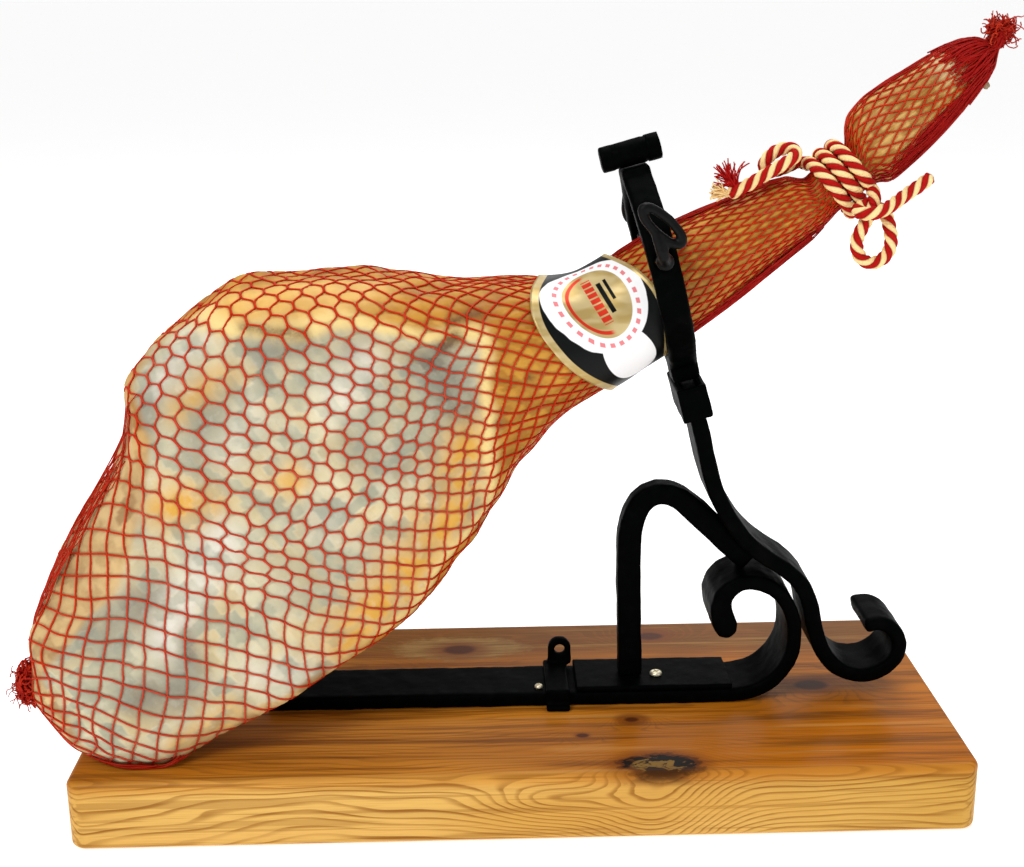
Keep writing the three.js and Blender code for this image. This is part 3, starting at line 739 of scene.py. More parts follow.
def paint_ham():
    paint = Paint("cured_meat", Specular_IOR_Level=0.28, Subsurface_Weight=0.05, Subsurface_Scale=0.003)
    lean, rim, tone, gap = paint.attributes("lean", "rim", "tone", "gap")
    white, gold, grey, dark, fat = paint.attributes(*HAM_PATCHES)
    rump, hock, bone, bunch = paint.attributes("rump", "hock", "bone", "bunch")
    place = paint.place()
    wide, middling = paint.noise(place, 42, 2.0), paint.noise(place, 17, 2.0)
    small, fine = paint.noise(place, 6.5, 3.0, 0.6), paint.noise(place, 2.0, 3.0, 0.6)
    other = paint.noise(paint.place(shift=(310, 70, 20)), 26, 2.0)
    cell = tone * 0.5 + 0.5
    meat = paint.mix((middling * 0.6 + cell * 0.4).step(0.22, 0.74),
                     (0.33, 0.325, 0.235), (0.70, 0.625, 0.41))
    meat = paint.layer(
        meat,
        ((other * 0.7 + cell * 0.3).step(0.44, 0.80) * 0.55, (0.62, 0.41, 0.12)),
        ((wide * 0.7 + cell * 0.3).step(0.40, 0.80) * 0.6, (0.24, 0.225, 0.17)),
        ((gold * (cell * 0.5 + 0.6)).clamp() * 0.9, (0.66, 0.33, 0.025)),
        ((grey * (small * 0.7 + cell * 0.6 + 0.2)).clamp() * 0.85, (0.13, 0.125, 0.11)),
        (fine.step(0.55, 0.85) * 0.30, (0.32, 0.26, 0.16)),
        (small.step(0.50, 0.85) * 0.30, (0.74, 0.68, 0.55)),
        ((white * (small * 0.6 + cell * 0.5)).clamp() * 0.85, (0.78, 0.75, 0.68)),
    )
    skin = paint.mix((middling * 0.7 + cell * 0.3).step(0.28, 0.70),
                     (0.36, 0.140, 0.009), (0.56, 0.265, 0.028))
    dry = paint.mix((small * 0.5 + cell * 0.5).step(0.2, 0.8), (0.32, 0.20, 0.09), (0.62, 0.45, 0.22))
    horn = paint.mix((cell * 0.6 + small * 0.4).step(0.3, 0.7), (0.36, 0.17, 0.035), (0.60, 0.41, 0.15))
    skin = paint.layer(
        skin,
        (wide.step(0.50, 0.75) * 0.6, (0.30, 0.095, 0.009)),
        (small.step(0.60, 0.85) * 0.35, (0.70, 0.44, 0.14)),
        (fine.step(0.60, 0.85) * 0.30, (0.20, 0.075, 0.009)),
        (rump * 0.8, dry),
        (hock * 0.6, horn),
        (fat * (small * 0.6 + 0.5), (0.80, 0.50, 0.15)),
        (rim * 0.9, (0.82, 0.62, 0.25)),
        (bone * (small * 0.5 + 0.7), (0.76, 0.58, 0.32)),
        (bunch, (0.20, 0.004, 0.003)),
    )
    color = paint.mix(lean, skin, meat)
    color = paint.layer(color, (rim * (1 - small.step(0.5, 0.7)) * 0.6, (0.80, 0.60, 0.24)),
                        ((dark * (fine + 0.6)).clamp() * 0.85, (0.09, 0.035, 0.012)))
    # Painted shade along the threads: the meat is darkened next to each thread of the net
    shaded = paint.mix(0.62, color, (0.42, 0.25, 0.10), "MULTIPLY")
    color = paint.mix(gap.step(-0.4, 2.0), shaded, color)
    rough = (0.42 + 0.22 * small + lean * 0.08).clamp()
    normal = (small * 0.7 + fine * 0.35).bump(0.45, 0.8)
    return paint.finish(color, rough, normal)


def make_ham(skin):
    s, h = skin.s_grid, skin.h
    values = {kind: patches(s, h, kind) * skin.front for kind in HAM_PATCHES}
    values.update({
        "lean": skin.lean, "rim": skin.rim, "tone": skin.tone, "gap": skin.gap, "rump": skin.rump,
        "hock": smoothstep(s, 540, 556), "bunch": smoothstep(s, 606, 620),
        "bone": smoothstep(s, 592, 606) * (1 - smoothstep(s, 616, 624)) * smoothstep(h, -12, 2),
    })
    # A point at each end closes the skin
    poles = ham_point(np.array([0.6, HAM["length"] - 0.5]), np.array([-10.0, -6.0]), np.array([-50.0, 0.0]))
    points = np.concatenate([skin.points.reshape(-1, 3), poles])
    values = {key: np.concatenate([value.reshape(-1), [value[0].mean(), value[-1].mean()]])
              for key, value in values.items()}
    heap = Heap()
    heap.add(points, grid_faces(HAM_ROWS, HAM_COLUMNS, True), **values)
    here = np.arange(HAM_COLUMNS)
    following = (here + 1) % HAM_COLUMNS
    last = (HAM_ROWS - 1) * HAM_COLUMNS
    first_pole, last_pole = (np.full(HAM_COLUMNS, len(points) - k) for k in (2, 1))
    heap.faces.append(np.stack([first_pole, following, here], -1))
    heap.faces.append(np.stack([last_pole, last + here, last + following], -1))
    return heap.piece("ham", paint_ham(), "ham", ("ham_in_net",))


# Net
def paint_net():
    paint = Paint("red_net", Specular_IOR_Level=0.1)
    lean, dense = paint.attributes("lean", "dense")
    place = paint.place()
    worn, fibre = paint.noise(place, 12, 2.0), paint.noise(place, 0.9, 2.0)
    color = paint.mix(lean, (0.50, 0.024, 0.002), (0.47, 0.042, 0.018))
    color = paint.layer(
        color,
        (worn.step(0.50, 0.75) * (0.25 + 0.3 * lean), (0.60, 0.12, 0.06)),
        (fibre.step(0.55, 0.8) * 0.4, (0.30, 0.010, 0.003)),
        # Deep red for bunched net, partly painted shade
        (dense, (0.30, 0.003, 0.003)),
    )
    rough = 0.5 + 0.3 * fibre
    return paint.finish(color, rough, fibre.bump(0.5, 0.3))


def add_net_row(heap, skin, row):
    """One closed row of wavy thread round the ham."""
    sides, above_skin = 4, 0.42
    points_round = NET["round"] * NET["points"]
    x = np.arange(points_round) / NET["points"]
    s = np.interp(row + 0.5, skin.row_numbers, skin.s)
    v = row + 0.5 + NET["reach"] * net_wave(x, s) * (1 if row % 2 == 0 else -1)
    across, along = net_drift(x, v)
    cells, rows = x - across, v - along
    centre = skin.at(cells, rows, skin.base)
    normal = unit(skin.at(cells, rows, skin.normals))
    lean = skin.at(cells, rows, skin.lean)
    centre = centre + normal * above_skin
    along_thread = unit(np.roll(centre, -1, axis=0) - np.roll(centre, 1, axis=0))
    side = np.cross(along_thread, normal)
    turn = (np.arange(sides) + 0.5) * TAU / sides
    radius = NET["thread"] / 2 * (1 - 0.16 * smoothstep(s, 300, 420))
    ring = normal[:, None] * np.sin(turn)[None, :, None] + side[:, None] * np.cos(turn)[None, :, None]
    points = (centre[:, None] + ring * radius * math.sqrt(2)).reshape(-1, 3)
    shank = smoothstep(s, 380, 430)
    top, underside = smoothstep(normal[:, 2], 0.45, 0.95), smoothstep(-normal[:, 2], 0.2, 0.8)
    # On the shank, threads are darkened on the top fold for bunched net, and where they face down as painted
    # shade on the underside
    dense = shank * np.maximum(0.55 * top, underside)
    heap.add(points, grid_faces(points_round, sides, True, True),
             lean=np.repeat(lean, sides), dense=np.repeat(dense, sides))


def make_net(skin, material):
    last = int(skin.row_numbers[-1]) - 1
    halfway = last // 2
    for name, rows in (("net_over_rump", range(1, halfway)), ("net_over_neck", range(halfway, last))):
        heap = Heap()
        for row in rows:
            add_net_row(heap, skin, row)
        heap.piece(name, material, "net")


def curl(start, way, length, draw, curliness=0.5, stiffness=0.75, points=12):
    """A loose thread that wanders off from a point."""
    place, way = np.array(start, float), np.array(way, float)
    path = [place.copy()]
    swing = draw.normal(size=3)
    for _ in range(points - 1):
        swing = stiffness * swing + (1 - stiffness) * draw.normal(size=3) * 2.2
        way = way + curliness * swing
        way = way / np.linalg.norm(way)
        place = place + way * length / (points - 1)
        path.append(place.copy())
    return np.array(path)


def make_rump_knot(material):
    """The net's drawn end at the rump: a small hard knot with loose curly threads."""
    draw = np.random.default_rng(11)
    heap = Heap()
    middle, size = RUMP_KNOT["middle"], RUMP_KNOT["size"]
    for _ in range(RUMP_KNOT["wound"]):
        spot = unit(draw.normal(size=3)) * draw.uniform(0.3, 0.9)
        way = unit(np.cross(spot, draw.normal(size=3)))
        path = curl(middle + spot * size, way, draw.uniform(8, 15), draw, 0.35)
        path = middle + (path - middle) * np.minimum(1, 1.08 / np.maximum(
            np.linalg.norm((path - middle) / size, axis=1), 1e-6))[:, None]
        add_thread(heap, path, 0.62, lean=0.2, dense=draw.uniform(0.1, 0.9))
    for _ in range(RUMP_KNOT["loose"]):
        way = unit(np.array([-1.0, draw.normal() * 0.7, draw.uniform(-1.3, 0.7)]))
        start = middle + way * size * 0.8
        path = curl(start, way, draw.uniform(5, 14), draw, 0.55, 0.7)
        add_thread(heap, path, 0.30, lean=0.5, dense=0.6)
    for _ in range(RUMP_KNOT["long"]):
        way = unit(np.array([-0.8, draw.normal() * 0.5, -1.0]))
        path = curl(middle + np.array([-1, 0, -9]), way, draw.uniform(14, 26), draw, 0.62, 0.82, 22)
        add_thread(heap, path, 0.36, lean=0.5, dense=0.6)
    heap.piece("rump_knot", material, "net")


def make_hock_tuft(skin, material):
    """The net's other end: threads drawn together past the hock and frayed out."""
    draw = np.random.default_rng(12)
    heap = Heap()
    neck, tuft_middle = HOCK_TUFT["neck"], HOCK_TUFT["middle"]
    last = skin.row_numbers[-1]
    for k in range(HOCK_TUFT["drawn"]):
        cell = draw.uniform(0, NET["round"])
        rows = np.linspace(last - draw.uniform(2.4, 5.6), last - 0.3, 7)
        cells = cell + 0.4 * lumps(np.stack([rows, rows * 0 + cell * 3], -1), 3, 70 + k % 5)
        lift = draw.uniform(0.9, 2.2)
        on_skin = skin.at(cells, rows, skin.base) + skin.at(cells, rows, skin.normals) * lift
        spread = unit(draw.normal(size=3)) * np.array([3.5, 5.0, 3.5])
        end = tuft_middle + unit(draw.normal(size=3)) * np.array([8, 8, 7]) * draw.uniform(0.4, 1)
        path = smooth_path([*on_skin[:-1:2], neck + spread * 0.8, tuft_middle + spread, end], 1.6)
        add_thread(heap, path, 0.48, lean=0.1, dense=0.9)
    for _ in range(HOCK_TUFT["frayed"]):
        start = tuft_middle + unit(draw.normal(size=3)) * np.array([8, 7.5, 7]) * draw.uniform(0.2, 1)
        way = unit(np.array([draw.normal() * 0.7 + 0.1, draw.normal() * 0.7, draw.normal() * 0.6 + 0.4]))
        path = curl(start, way, draw.uniform(4, 10), draw, 0.5, 0.7)
        path[:, 2] = np.minimum(path[:, 2], HOCK_TUFT["top"])
        lean = 0.9 if draw.uniform() < 0.4 else 0.3
        add_thread(heap, path, 0.36, lean=lean, dense=draw.uniform(0.0, 0.8))
    heap.piece("hock_tuft", material, "net")


def make_gathers(material):
    """Slack net drawn into folds that run along the underside of the shank and the hock's upper edge."""
    draw = np.random.default_rng(13)
    heap = Heap()
    for count, low, high, turns, dense in GATHERS:
        for _ in range(count):
            length = draw.uniform(0.35, 0.9) * (high - low)
            start = draw.uniform(low, high - length)
            s = np.linspace(start, start + length, 16)
            angle = math.radians(draw.uniform(*turns))
            sway = draw.uniform(0.03, 0.09) * np.sin(s / draw.uniform(5, 11) + draw.uniform(0, TAU))
            lift = draw.uniform(0.4, 1.5) * np.sin(np.linspace(0, math.pi, 16)) ** 0.4
            path = ham_point(s, *ham_section(s, angle + sway, lift))
            add_thread(heap, path, 0.31, lean=0.1, dense=dense * draw.uniform(0.7, 1.1))
    heap.piece("net_gathers", material, "net")


# Label
def label_edges(angle):
    swell = LABEL["bulge"] * np.maximum(np.cos(angle - LABEL["widest"]), 0) ** 2
    return LABEL["from"] - swell, LABEL["to"] + swell


def paint_label():
    paint = Paint("printed_paper", Specular_IOR_Level=0.12)
    turn, s, left, right = paint.attributes("turn", "along", "from_left", "from_right")
    soft = 0.35
    black, white = (0.002, 0.0025, 0.0025), (0.90, 0.90, 0.90)
    gold_ink, red = (0.44, 0.31, 0.11), (0.62, 0.035, 0.015)

    def oval(middle_s, middle_turn, half_s, half_turn):
        a, b = (s - middle_s) / half_s, (turn - middle_turn) / half_turn
        return a, b, (a * a + b * b) ** 0.5

    _, _, field = oval(381.5, 34, 27, 52)
    _, _, tail = oval(381, -30, 13.5, 36)
    wavy = paint.noise(paint.place(), 9, 1.0) * 0.05
    field_mask = 1 - (field + wavy).step(1.0, 1.0 + soft / 20)
    tail_mask = 1 - tail.step(1.0, 1.0 + soft / 12)
    white_mask = field_mask.math("MAXIMUM", tail_mask)
    a, b, inner = oval(382, 34, 17, 38)
    gold_mask = 1 - inner.step(0.985, 1.01)
    round_angle = b.math("ARCTAN2", a)
    dashes = (round_angle * 26).math("SINE").step(-0.2, 0.2)
    outer_band = inner.step(1.12, 1.14) * (1 - inner.step(1.24, 1.26)) * dashes
    inner_band = inner.step(0.80, 0.82) * (1 - inner.step(0.90, 0.92)) * (1 - a.step(-0.2, 0.0))

    def bar(at_s, half_s, at_turn, half_turn):
        across = 1 - (s - at_s).math("ABSOLUTE").step(half_s - 0.15, half_s + 0.15)
        return across * (1 - (turn - at_turn).math("ABSOLUTE").step(half_turn - 0.5, half_turn + 0.5))

    broken = (turn * 0.95).math("SINE").step(-0.85, -0.6)
    red_bar = bar(381, 2.6, 35, 25) * broken
    dark_bars = (bar(386.6, 1.3, 34, 17) + bar(390.5, 0.9, 40, 12)).clamp()
    left_border, right_border = 1 - left.step(4.0, 4.4), 1 - right.step(2.4, 2.8)
    sheen = paint.noise(paint.place((1, 1, 3)), 14, 1.0)
    gold_color = paint.mix(sheen.step(0.35, 0.65), gold_ink, (0.58, 0.45, 0.22))
    color = paint.layer(
        black,
        (white_mask, white),
        (outer_band * white_mask * 0.85, (0.75, 0.10, 0.12)),
        (gold_mask, gold_color),
        (inner_band * gold_mask, red),
        (red_bar, red),
        (dark_bars, black),
        (left_border, gold_color),
        (right_border, gold_color),
    )
    dust = paint.noise(paint.place(), 1.4, 2.0)
    metal = (gold_mask + left_border + right_border).clamp()
    rough = (0.30 + 0.14 * dust).clamp()
    return paint.finish(color, rough, dust.bump(0.12, 0.2), metal * 0.35)


def make_label():
    """Paper band glued round the shank, its ends meeting at the underside."""
    columns, rows = 300, 46
    angle = np.linspace(-math.pi + 0.012, math.pi - 0.012, columns)[None, :]
    low, high = label_edges(angle)
    across = np.linspace(0, 1, rows)[:, None]
    s = low + (high - low) * across
    ripple = 0.22 * lumps(np.stack(np.broadcast_arrays(angle * 36, s), -1), 26, 21)
    edge_lift = 0.35 * np.exp(-((across * 14) ** 2)) + 0.35 * np.exp(-(((1 - across) * 14) ** 2))
    lifts = [lift + ripple + edge_lift for lift in (LABEL["lift"] + LABEL["paper"], LABEL["lift"])]
    outside, inside = (ham_point(s, *ham_section(s, angle, lift)).reshape(-1, 3) for lift in lifts)
    top = grid_faces(rows, columns, False)
    count = rows * columns
    border = np.concatenate([
        np.arange(columns), np.arange(1, rows) * columns + columns - 1,
        (rows - 1) * columns + np.arange(columns - 2, -1, -1), np.arange(rows - 2, 0, -1) * columns,
    ])
    following = np.roll(border, -1)
    edge = np.stack([border, border + count, following + count, following], -1)
    turn = np.broadcast_to(90 - np.degrees(angle), s.shape).reshape(-1)
    values = {"turn": turn, "along": s.reshape(-1), "from_left": (s - low).reshape(-1),
              "from_right": (high - s).reshape(-1)}
    heap = Heap()
    heap.add(np.concatenate([outside, inside]), np.concatenate([top, top[:, ::-1] + count, edge]),
             **{key: np.tile(value, 2) for key, value in values.items()})
    heap.piece("label", paint_label(), "label", ("label_band",))


# Rope
def rope_route():
    middle = ham_point(*ROPE["middle"], 0.0)
    lean_angle = HAM["angle"] + ROPE["tilt"]
    axis = np.array([math.cos(lean_angle), 0, math.sin(lean_angle)])
    up = np.array([-axis[2], 0, axis[0]])
    out = np.array([0, -1.0, 0])
    first, last = ROPE["turns"]
    turns = np.linspace(first, last, 66)
    along = (turns - (first + last) / 2) / TAU * ROPE["pitch"]
    winding = (middle + axis * along[:, None]
               + ROPE["winding"] * (up * np.cos(turns)[:, None] + out * np.sin(turns)[:, None]))
    path = smooth_path([*ROPE_START, *winding, *ROPE_FINISH], ROPE["step"])
    for _ in range(3):
        path[1:-1] = (path[:-2] + 2 * path[1:-1] + path[2:]) / 4
    return even_path(path, ROPE["step"])


def paint_rope():
    paint = Paint("twisted_cotton", Specular_IOR_Level=0.12)
    strand, groove, far = paint.attributes("strand", "groove", "far")
    place = paint.place()
    hair, patch = paint.noise(place, 0.7, 2.0), paint.noise(place, 6, 2.0)
    yarn = ((far * 2.6 + groove * 4.2).math("SINE") * 0.5 + 0.5).clamp()
    cream = paint.mix(patch, (0.92, 0.62, 0.24), (0.99, 0.76, 0.40))
    red = paint.mix(patch, (0.34, 0.002, 0.002), (0.48, 0.008, 0.005))
    color = paint.mix(strand.step(0.45, 0.55), cream, red)
    color = paint.mix(hair.step(0.5, 0.85) * 0.3, color, (0.30, 0.05, 0.02), "MULTIPLY")
    # Painted shade in the grooves between the strands
    color = paint.mix(groove.step(0.62, 1.0) * 0.75, color, (0.22, 0.03, 0.015), "MULTIPLY")
    normal = (yarn * 0.7 + hair * 0.6).bump(0.8, 0.45)
    return paint.finish(color, 0.72 + 0.2 * hair, normal)


def make_rope():
    path = rope_route()
    length = np.linalg.norm(np.diff(path, axis=0), axis=1).sum()
    across, upward = carried_frames(path)
    sides, strands, radius = ROPE["sides"], ROPE["strands"], ROPE["diameter"] / 2
    far = np.linspace(0, length, len(path))
    ends = np.minimum(1, np.minimum(far, length - far) / 2.4)
    taper = np.sqrt(np.maximum(1 - (1 - ends) ** 2, 0.05))
    turn = np.arange(sides) * TAU / sides
    off = np.abs((turn * strands / TAU + 0.5) % 1 - 0.5) / 0.5
    off_angle = off * math.pi / strands
    core, lobe = 0.52, 0.48
    section = core * np.cos(off_angle) + np.sqrt(lobe**2 - (core * np.sin(off_angle)) ** 2)
    section = radius * (0.8 * section + 0.2 * 0.9)
    spin = turn[None, :] - far[:, None] * TAU / ROPE["lay"]
    reach = section[None, :, None] * taper[:, None, None]
    points = (path[:, None] + (across[:, None] * np.cos(spin)[..., None]
                               + upward[:, None] * np.sin(spin)[..., None]) * reach).reshape(-1, 3)
    strand = np.tile(np.floor(turn * strands / TAU + 0.5) % 2, len(path))
    groove = np.tile(off, len(path))
    heap = Heap()
    heap.add(points, grid_faces(len(path), sides, True),
             strand=strand, groove=groove, far=np.repeat(far, sides))
    heap.faces.append(np.array([np.arange(sides)[::-1], np.arange(sides) + (len(path) - 1) * sides]))
    material = paint_rope()
    rope = heap.piece("rope", material, "rope", (
        "rope_end", "rope_hitch", "rope_coil", "rope_knot", "rope_loop", "rope_tail"))
    frays = make_rope_frays(material)


def make_rope_frays(material):
    """The rope's near end, where its red and its pale strands part and fray."""
    draw = np.random.default_rng(14)
    heap = Heap()
    for red, start, way, length in ROPE_FRAYS:
        for k in range(46):
            offset = unit(draw.normal(size=3)) * draw.uniform(0, 2.0)
            toward = unit(np.array(way) + offset * 0.05 + draw.normal(size=3) * 0.07)
            length_here = length * draw.uniform(0.75, 1.1)
            path = curl(np.array(start) + offset, toward, length_here, draw, 0.10, 0.8, 10)
            add_thread(heap, path, np.linspace(0.62, 0.40, 10), strand=red, groove=0.3, far=float(k))
    return heap.piece("rope_frays", material, "rope")


# Board
def paint_pine():
    paint = Paint("lacquered_pine", Specular_IOR_Level=0.04, Coat_Weight=0.025, Coat_Roughness=0.1)
    place = paint.place()
    x, y, z = paint.split(place)
    waver = (paint.noise(paint.place((0.25, 1, 1)), 50, 2.0) - 0.5) * 30
    small_waver = (paint.noise(paint.place((0.12, 1, 1)), 12, 2.0) - 0.5) * 4.5
    pull, core, halo = 0.0, 0.0, 0.0
    for middle_x, middle_y, size, reach in KNOTS:
        from_knot = ((((x - middle_x) / 1.5) ** 2.0) + (y - middle_y) ** 2.0) ** 0.5
        pull = pull + 22 * (0 - (from_knot / reach) ** 2.0).math("EXPONENT")
        core = (1 - (from_knot + small_waver).step(size * 0.55, size)) + core
        halo = (1 - (from_knot + waver * 0.3).step(size, reach)) + halo
    eye = (((x - EYE["x"]) / 40) ** 2.0) + (((z - EYE["z"]) / 13) ** 2.0) + (((y - EYE["y"]) / 16) ** 2.0)
    pull = pull + 15 * (0 - eye).math("EXPONENT")
    away = ((y - 26 + x * 0.05) ** 2.0 + (z + 64 + x * 0.03) ** 2.0) ** 0.5 + waver + small_waver + pull
    ring = (away * (1 / RING_WIDTH)).math("FRACT")
    late = ring.step(0.52, 0.86) * (1 - ring.step(0.93, 1.0))
    bark = paint.noise(paint.place((0.6, 1, 1)), 8, 4.0, 0.65, 0.8)
    from_swirl = (((x - SWIRL["x"]) / 2.4) ** 2.0 + (y - SWIRL["y"]) ** 2.0) ** 0.5 + bark * 18
    swirl = 1 - from_swirl.step(SWIRL["reach"] - 8, SWIRL["reach"])
    fibre = paint.noise(paint.place((0.03, 1, 1)), 0.9, 3.0, 0.6)
    streak = paint.noise(paint.place((0.04, 1, 1)), 9, 3.0, 0.6)
    line = paint.noise(paint.place((0.02, 1, 1)), 2.6, 2.0)
    tint = paint.noise(paint.place((0.25, 1, 1)), 60, 2.0)
    front = 1 - y.step(-99, -92)
    above = (z.step(30, 39) * (1 - front * 0.35)).clamp()
    pale = paint.mix(tint.step(0.35, 0.65), (0.70, 0.42, 0.11), (0.60, 0.32, 0.065))
    warm = paint.mix(tint.step(0.35, 0.65), (0.56, 0.215, 0.020), (0.42, 0.135, 0.006))
    color = paint.mix(above, pale, warm)
    color = paint.layer(
        color,
        (x.step(-60, 200) * above * 0.7, (0.47, 0.125, 0.001)),
        (y.step(30, 70) * above * 0.85, (0.115, 0.045, 0.002)),
        (x.step(90, 240) * (1 - above) * 0.5, (0.50, 0.26, 0.035)),
        (late * (0.36 - 0.10 * above + 0.5 * streak.step(0.36, 0.66)), (0.25, 0.085, 0.008)),
        (streak.step(0.50, 0.68) * (0.14 + 0.66 * above), (0.17, 0.046, 0.002)),
        (line.step(0.54, 0.62) * (0.34 + 0.32 * above), (0.21, 0.066, 0.005)),
        (fibre.step(0.45, 0.75) * 0.30, (0.40, 0.17, 0.04)),
        (streak.step(0.30, 0.42) * -0.25 + 0.25, (0.74, 0.42, 0.12)),
        (swirl * above * 0.75, paint.mix(fibre.step(0.35, 0.6), (0.17, 0.085, 0.018), (0.36, 0.215, 0.065))),
        ((halo * above).clamp() * 0.7, (0.17, 0.040, 0.005)),
        ((core * above).clamp() * 0.9, (0.06, 0.014, 0.004)),
    )
    from_bark = (((x - BARK_KNOT["x"]) / 2.0) ** 2.0 + (y - BARK_KNOT["y"]) ** 2.0) ** 0.5 + bark * 16
    hole = (1 - from_bark.step(BARK_KNOT["reach"] - 2, BARK_KNOT["reach"])) * above
    lip = (1 - (from_bark - BARK_KNOT["reach"]).math("ABSOLUTE").step(0.5, 2.0)) * above
    color = paint.layer(
        color,
        (hole * bark.step(0.52, 0.60), (0.22, 0.12, 0.022)),
        (hole * (1 - bark.step(0.53, 0.58)), (0.008, 0.005, 0.003)),
        (lip * 0.7, (0.07, 0.018, 0.004)),
    )
    pores = fibre * 0.6 + late * 0.3
    rough = 0.30 + 0.12 * fibre
    return paint.finish(color, rough, pores.bump(0.15, 0.3))


def make_board():
    length, width, height = (BOARD[key] for key in ("length", "width", "height"))
    bpy.ops.mesh.primitive_cube_add(size=1, location=(0, 0, 0))
    board = bpy.context.object
    board.name = "pine_board"
    edit_all(board)
    bpy.ops.transform.resize(value=(length * MM, width * MM, height * MM))
    bpy.ops.transform.translate(value=(0, 0, height / 2 * MM))
    bpy.ops.object.mode_set(mode="OBJECT")
    bevel_edges(board, lambda a, b: abs(a.z - b.z) > 1, BOARD["corner"] * MM, 8)
    bevel_edges(board, lambda a, b: abs(a.z - b.z) < 0.01 and (a.z < 0.01 or a.z > height - 0.01),
                BOARD["edge"] * MM, 5)
    bpy.ops.object.shade_smooth_by_angle(angle=math.radians(35))
    placed(board, paint_pine(), ("board",))


# Iron
def paint_iron(name, gloss):
    paint = Paint(name, Specular_IOR_Level=gloss)
    place = paint.place()
    hammer, grit = paint.noise(place, 7, 2.0), paint.noise(place, 0.8, 3.0, 0.6)
    worn = paint.noise(place, 26, 2.0)
    color = paint.layer(
        (0.0005, 0.0007, 0.0007),
        (hammer.step(0.45, 0.75) * 0.6, (0.0015, 0.0018, 0.0017)),
        (worn.step(0.6, 0.8) * 0.4, (0.0032, 0.0036, 0.0030)),
    )
    rough = 0.30 + 0.20 * grit + 0.12 * hammer
    return paint.finish(color, rough, (hammer * 0.8 + grit * 0.25).bump(0.35, 0.8))


def forge(nodes, material, voxel, hammer, seed, body="stand"):
    """Fine hand-forged pieces over the frame's plain iron solids."""
    for node in nodes:
        piece = bpy.data.objects.new("forged_" + node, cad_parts[node].data.copy())
        bpy.context.scene.collection.objects.link(piece)
        edit_all(piece)
        bpy.ops.mesh.remove_doubles(threshold=0.00001)
        bpy.ops.object.mode_set(mode="OBJECT")
        apply_modifier(piece, "REMESH", mode="VOXEL", voxel_size=voxel * MM)
        apply_modifier(piece, "SMOOTH", factor=0.5, iterations=4)
        places = mesh_array(piece.data.vertices, "co")
        ways = mesh_array(piece.data.vertex_normals, "vector")
        beat = hammer * (lumps(places / MM, 15, seed) + 0.5 * lumps(places / MM, 7, seed + 1))
        piece.data.vertices.foreach_set("co", (places + ways * beat[:, None] * MM).reshape(-1))
        bpy.ops.object.shade_smooth()
        placed(piece, material, (node,), body)


def make_barrel_pin(material):
    """The pin from cap to cap that fills the thin gap on each side of the barrel."""
    left, right = ((Vector(low) + Vector(high)) / 2
                   for low, high in (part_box("barrel_cap_left"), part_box("barrel_cap_right")))
    way = right - left
    bpy.ops.object.select_all(action="DESELECT")
    bpy.ops.mesh.primitive_cylinder_add(
        vertices=48, radius=BARREL_PIN * MM, depth=way.length, location=(left + right) / 2,
        rotation=way.to_track_quat("Z", "Y").to_euler())
    pin = bpy.context.object
    pin.name = "barrel_pin"
    bpy.ops.object.transform_apply(location=True, rotation=True, scale=True)
    apply_modifier(pin, "BEVEL", width=0.6 * MM, segments=2)
    bpy.ops.object.shade_smooth_by_angle(angle=math.radians(40))
    placed(pin, material)


def make_iron():
    iron, rubbed = paint_iron("black_iron", 0.01), paint_iron("rubbed_iron", 0.12)
    forge(("base_bar", "post_bar", "brace_bar"), iron, 1.3, 0.12, 41)
    forge(("head_yoke", "head_barrel", "barrel_cap_left", "barrel_cap_right", "socket_sleeve", "foot_plate",
           "strap_clip"), iron, 0.95, 0.10, 43)
    make_barrel_pin(iron)
    for side, seed in (("front", 45), ("back", 47)):
        forge((f"clamp_screw_{side}",), rubbed, 0.8, 0.14, seed, f"screw_{side}")


def paint_brass():
    paint = Paint("pale_brass", Metallic=0.85)
    place = paint.place()
    scratch = paint.noise(paint.place((1, 4, 1)), 2.0, 3.0)
    color = paint.mix(scratch, (0.62, 0.55, 0.38), (0.80, 0.74, 0.56))
    return paint.finish(color, 0.28 + 0.2 * scratch, paint.noise(place, 1.2, 2.0).bump(0.15, 0.2))


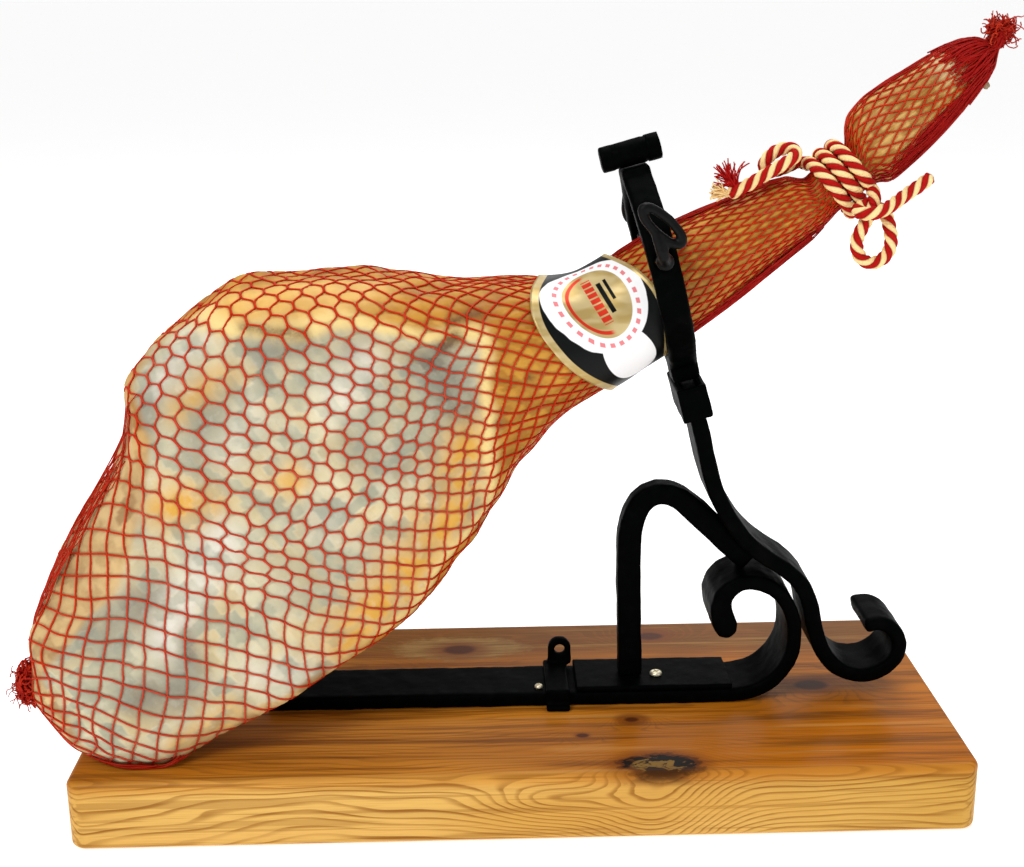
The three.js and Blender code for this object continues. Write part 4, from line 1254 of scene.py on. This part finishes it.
def make_wood_screw(node, material):
    """A low screw head with a cross recess."""
    low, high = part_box(node)
    middle = [(a + b) / 2 for a, b in zip(low, high)]
    radius, height = (high[0] - low[0]) / 2, high[2] - low[2]
    bpy.ops.mesh.primitive_cylinder_add(vertices=32, radius=radius, depth=height, location=(0, 0, 0))
    screw = bpy.context.object
    screw.name = node + "_head"
    edit_all(screw)
    bpy.ops.transform.translate(value=middle)
    bpy.ops.object.mode_set(mode="OBJECT")
    top = high[2] / MM
    bevel_edges(screw, lambda a, b: a.z > top - 0.01 and b.z > top - 0.01, height * 0.8, 5)
    for turn in (25, 115):
        bpy.ops.mesh.primitive_cube_add(size=1, location=(middle[0], middle[1], high[2]),
                                        rotation=(0, 0, math.radians(turn)))
        blade = bpy.context.object
        blade.scale = (radius * 1.15, radius * 0.26, height * 0.9)
        apply_modifier(screw, "BOOLEAN", operation="DIFFERENCE", object=blade)
        bpy.data.objects.remove(blade)
    bpy.ops.object.shade_smooth_by_angle(angle=math.radians(40))
    placed(screw, material, (node,))


def make_scrap():
    """A dry scrap of skin that sticks out under the hock."""
    bpy.ops.mesh.primitive_ico_sphere_add(subdivisions=4, radius=1, location=(0, 0, 0))
    scrap = bpy.context.object
    scrap.name = "dry_scrap"
    places = mesh_array(scrap.data.vertices, "co")
    places = places * (1 + 0.18 * lumps(places, 1.1, 51))[:, None] * SCRAP["size"]
    cos, sin = math.cos(SCRAP["turn"]), math.sin(SCRAP["turn"])
    x, y, z = places.T
    places = np.stack([x * cos - z * sin, y, x * sin + z * cos], -1) + SCRAP["place"]
    scrap.data.vertices.foreach_set("co", (places * MM).reshape(-1))
    select_only(scrap)
    bpy.ops.object.shade_smooth()
    paint = Paint("dry_skin")
    patch = paint.noise(paint.place(), 2.4, 3.0)
    color = paint.mix(patch, (0.16, 0.09, 0.035), (0.36, 0.26, 0.15))
    placed(scrap, paint.finish(color, 0.7 + 0.1 * patch, patch.bump(0.6, 0.6)))


set_camera()
make_rope()
set_studio()
ham_skin = HamSkin()
make_ham(ham_skin)
net_material = paint_net()
make_net(ham_skin, net_material)
make_rump_knot(net_material)
make_hock_tuft(ham_skin, net_material)
make_gathers(net_material)
make_label()
make_board()
make_iron()
brass = paint_brass()
for wood_screw in ("wood_screw_right", "wood_screw_left"):
    make_wood_screw(wood_screw, brass)
make_scrap()
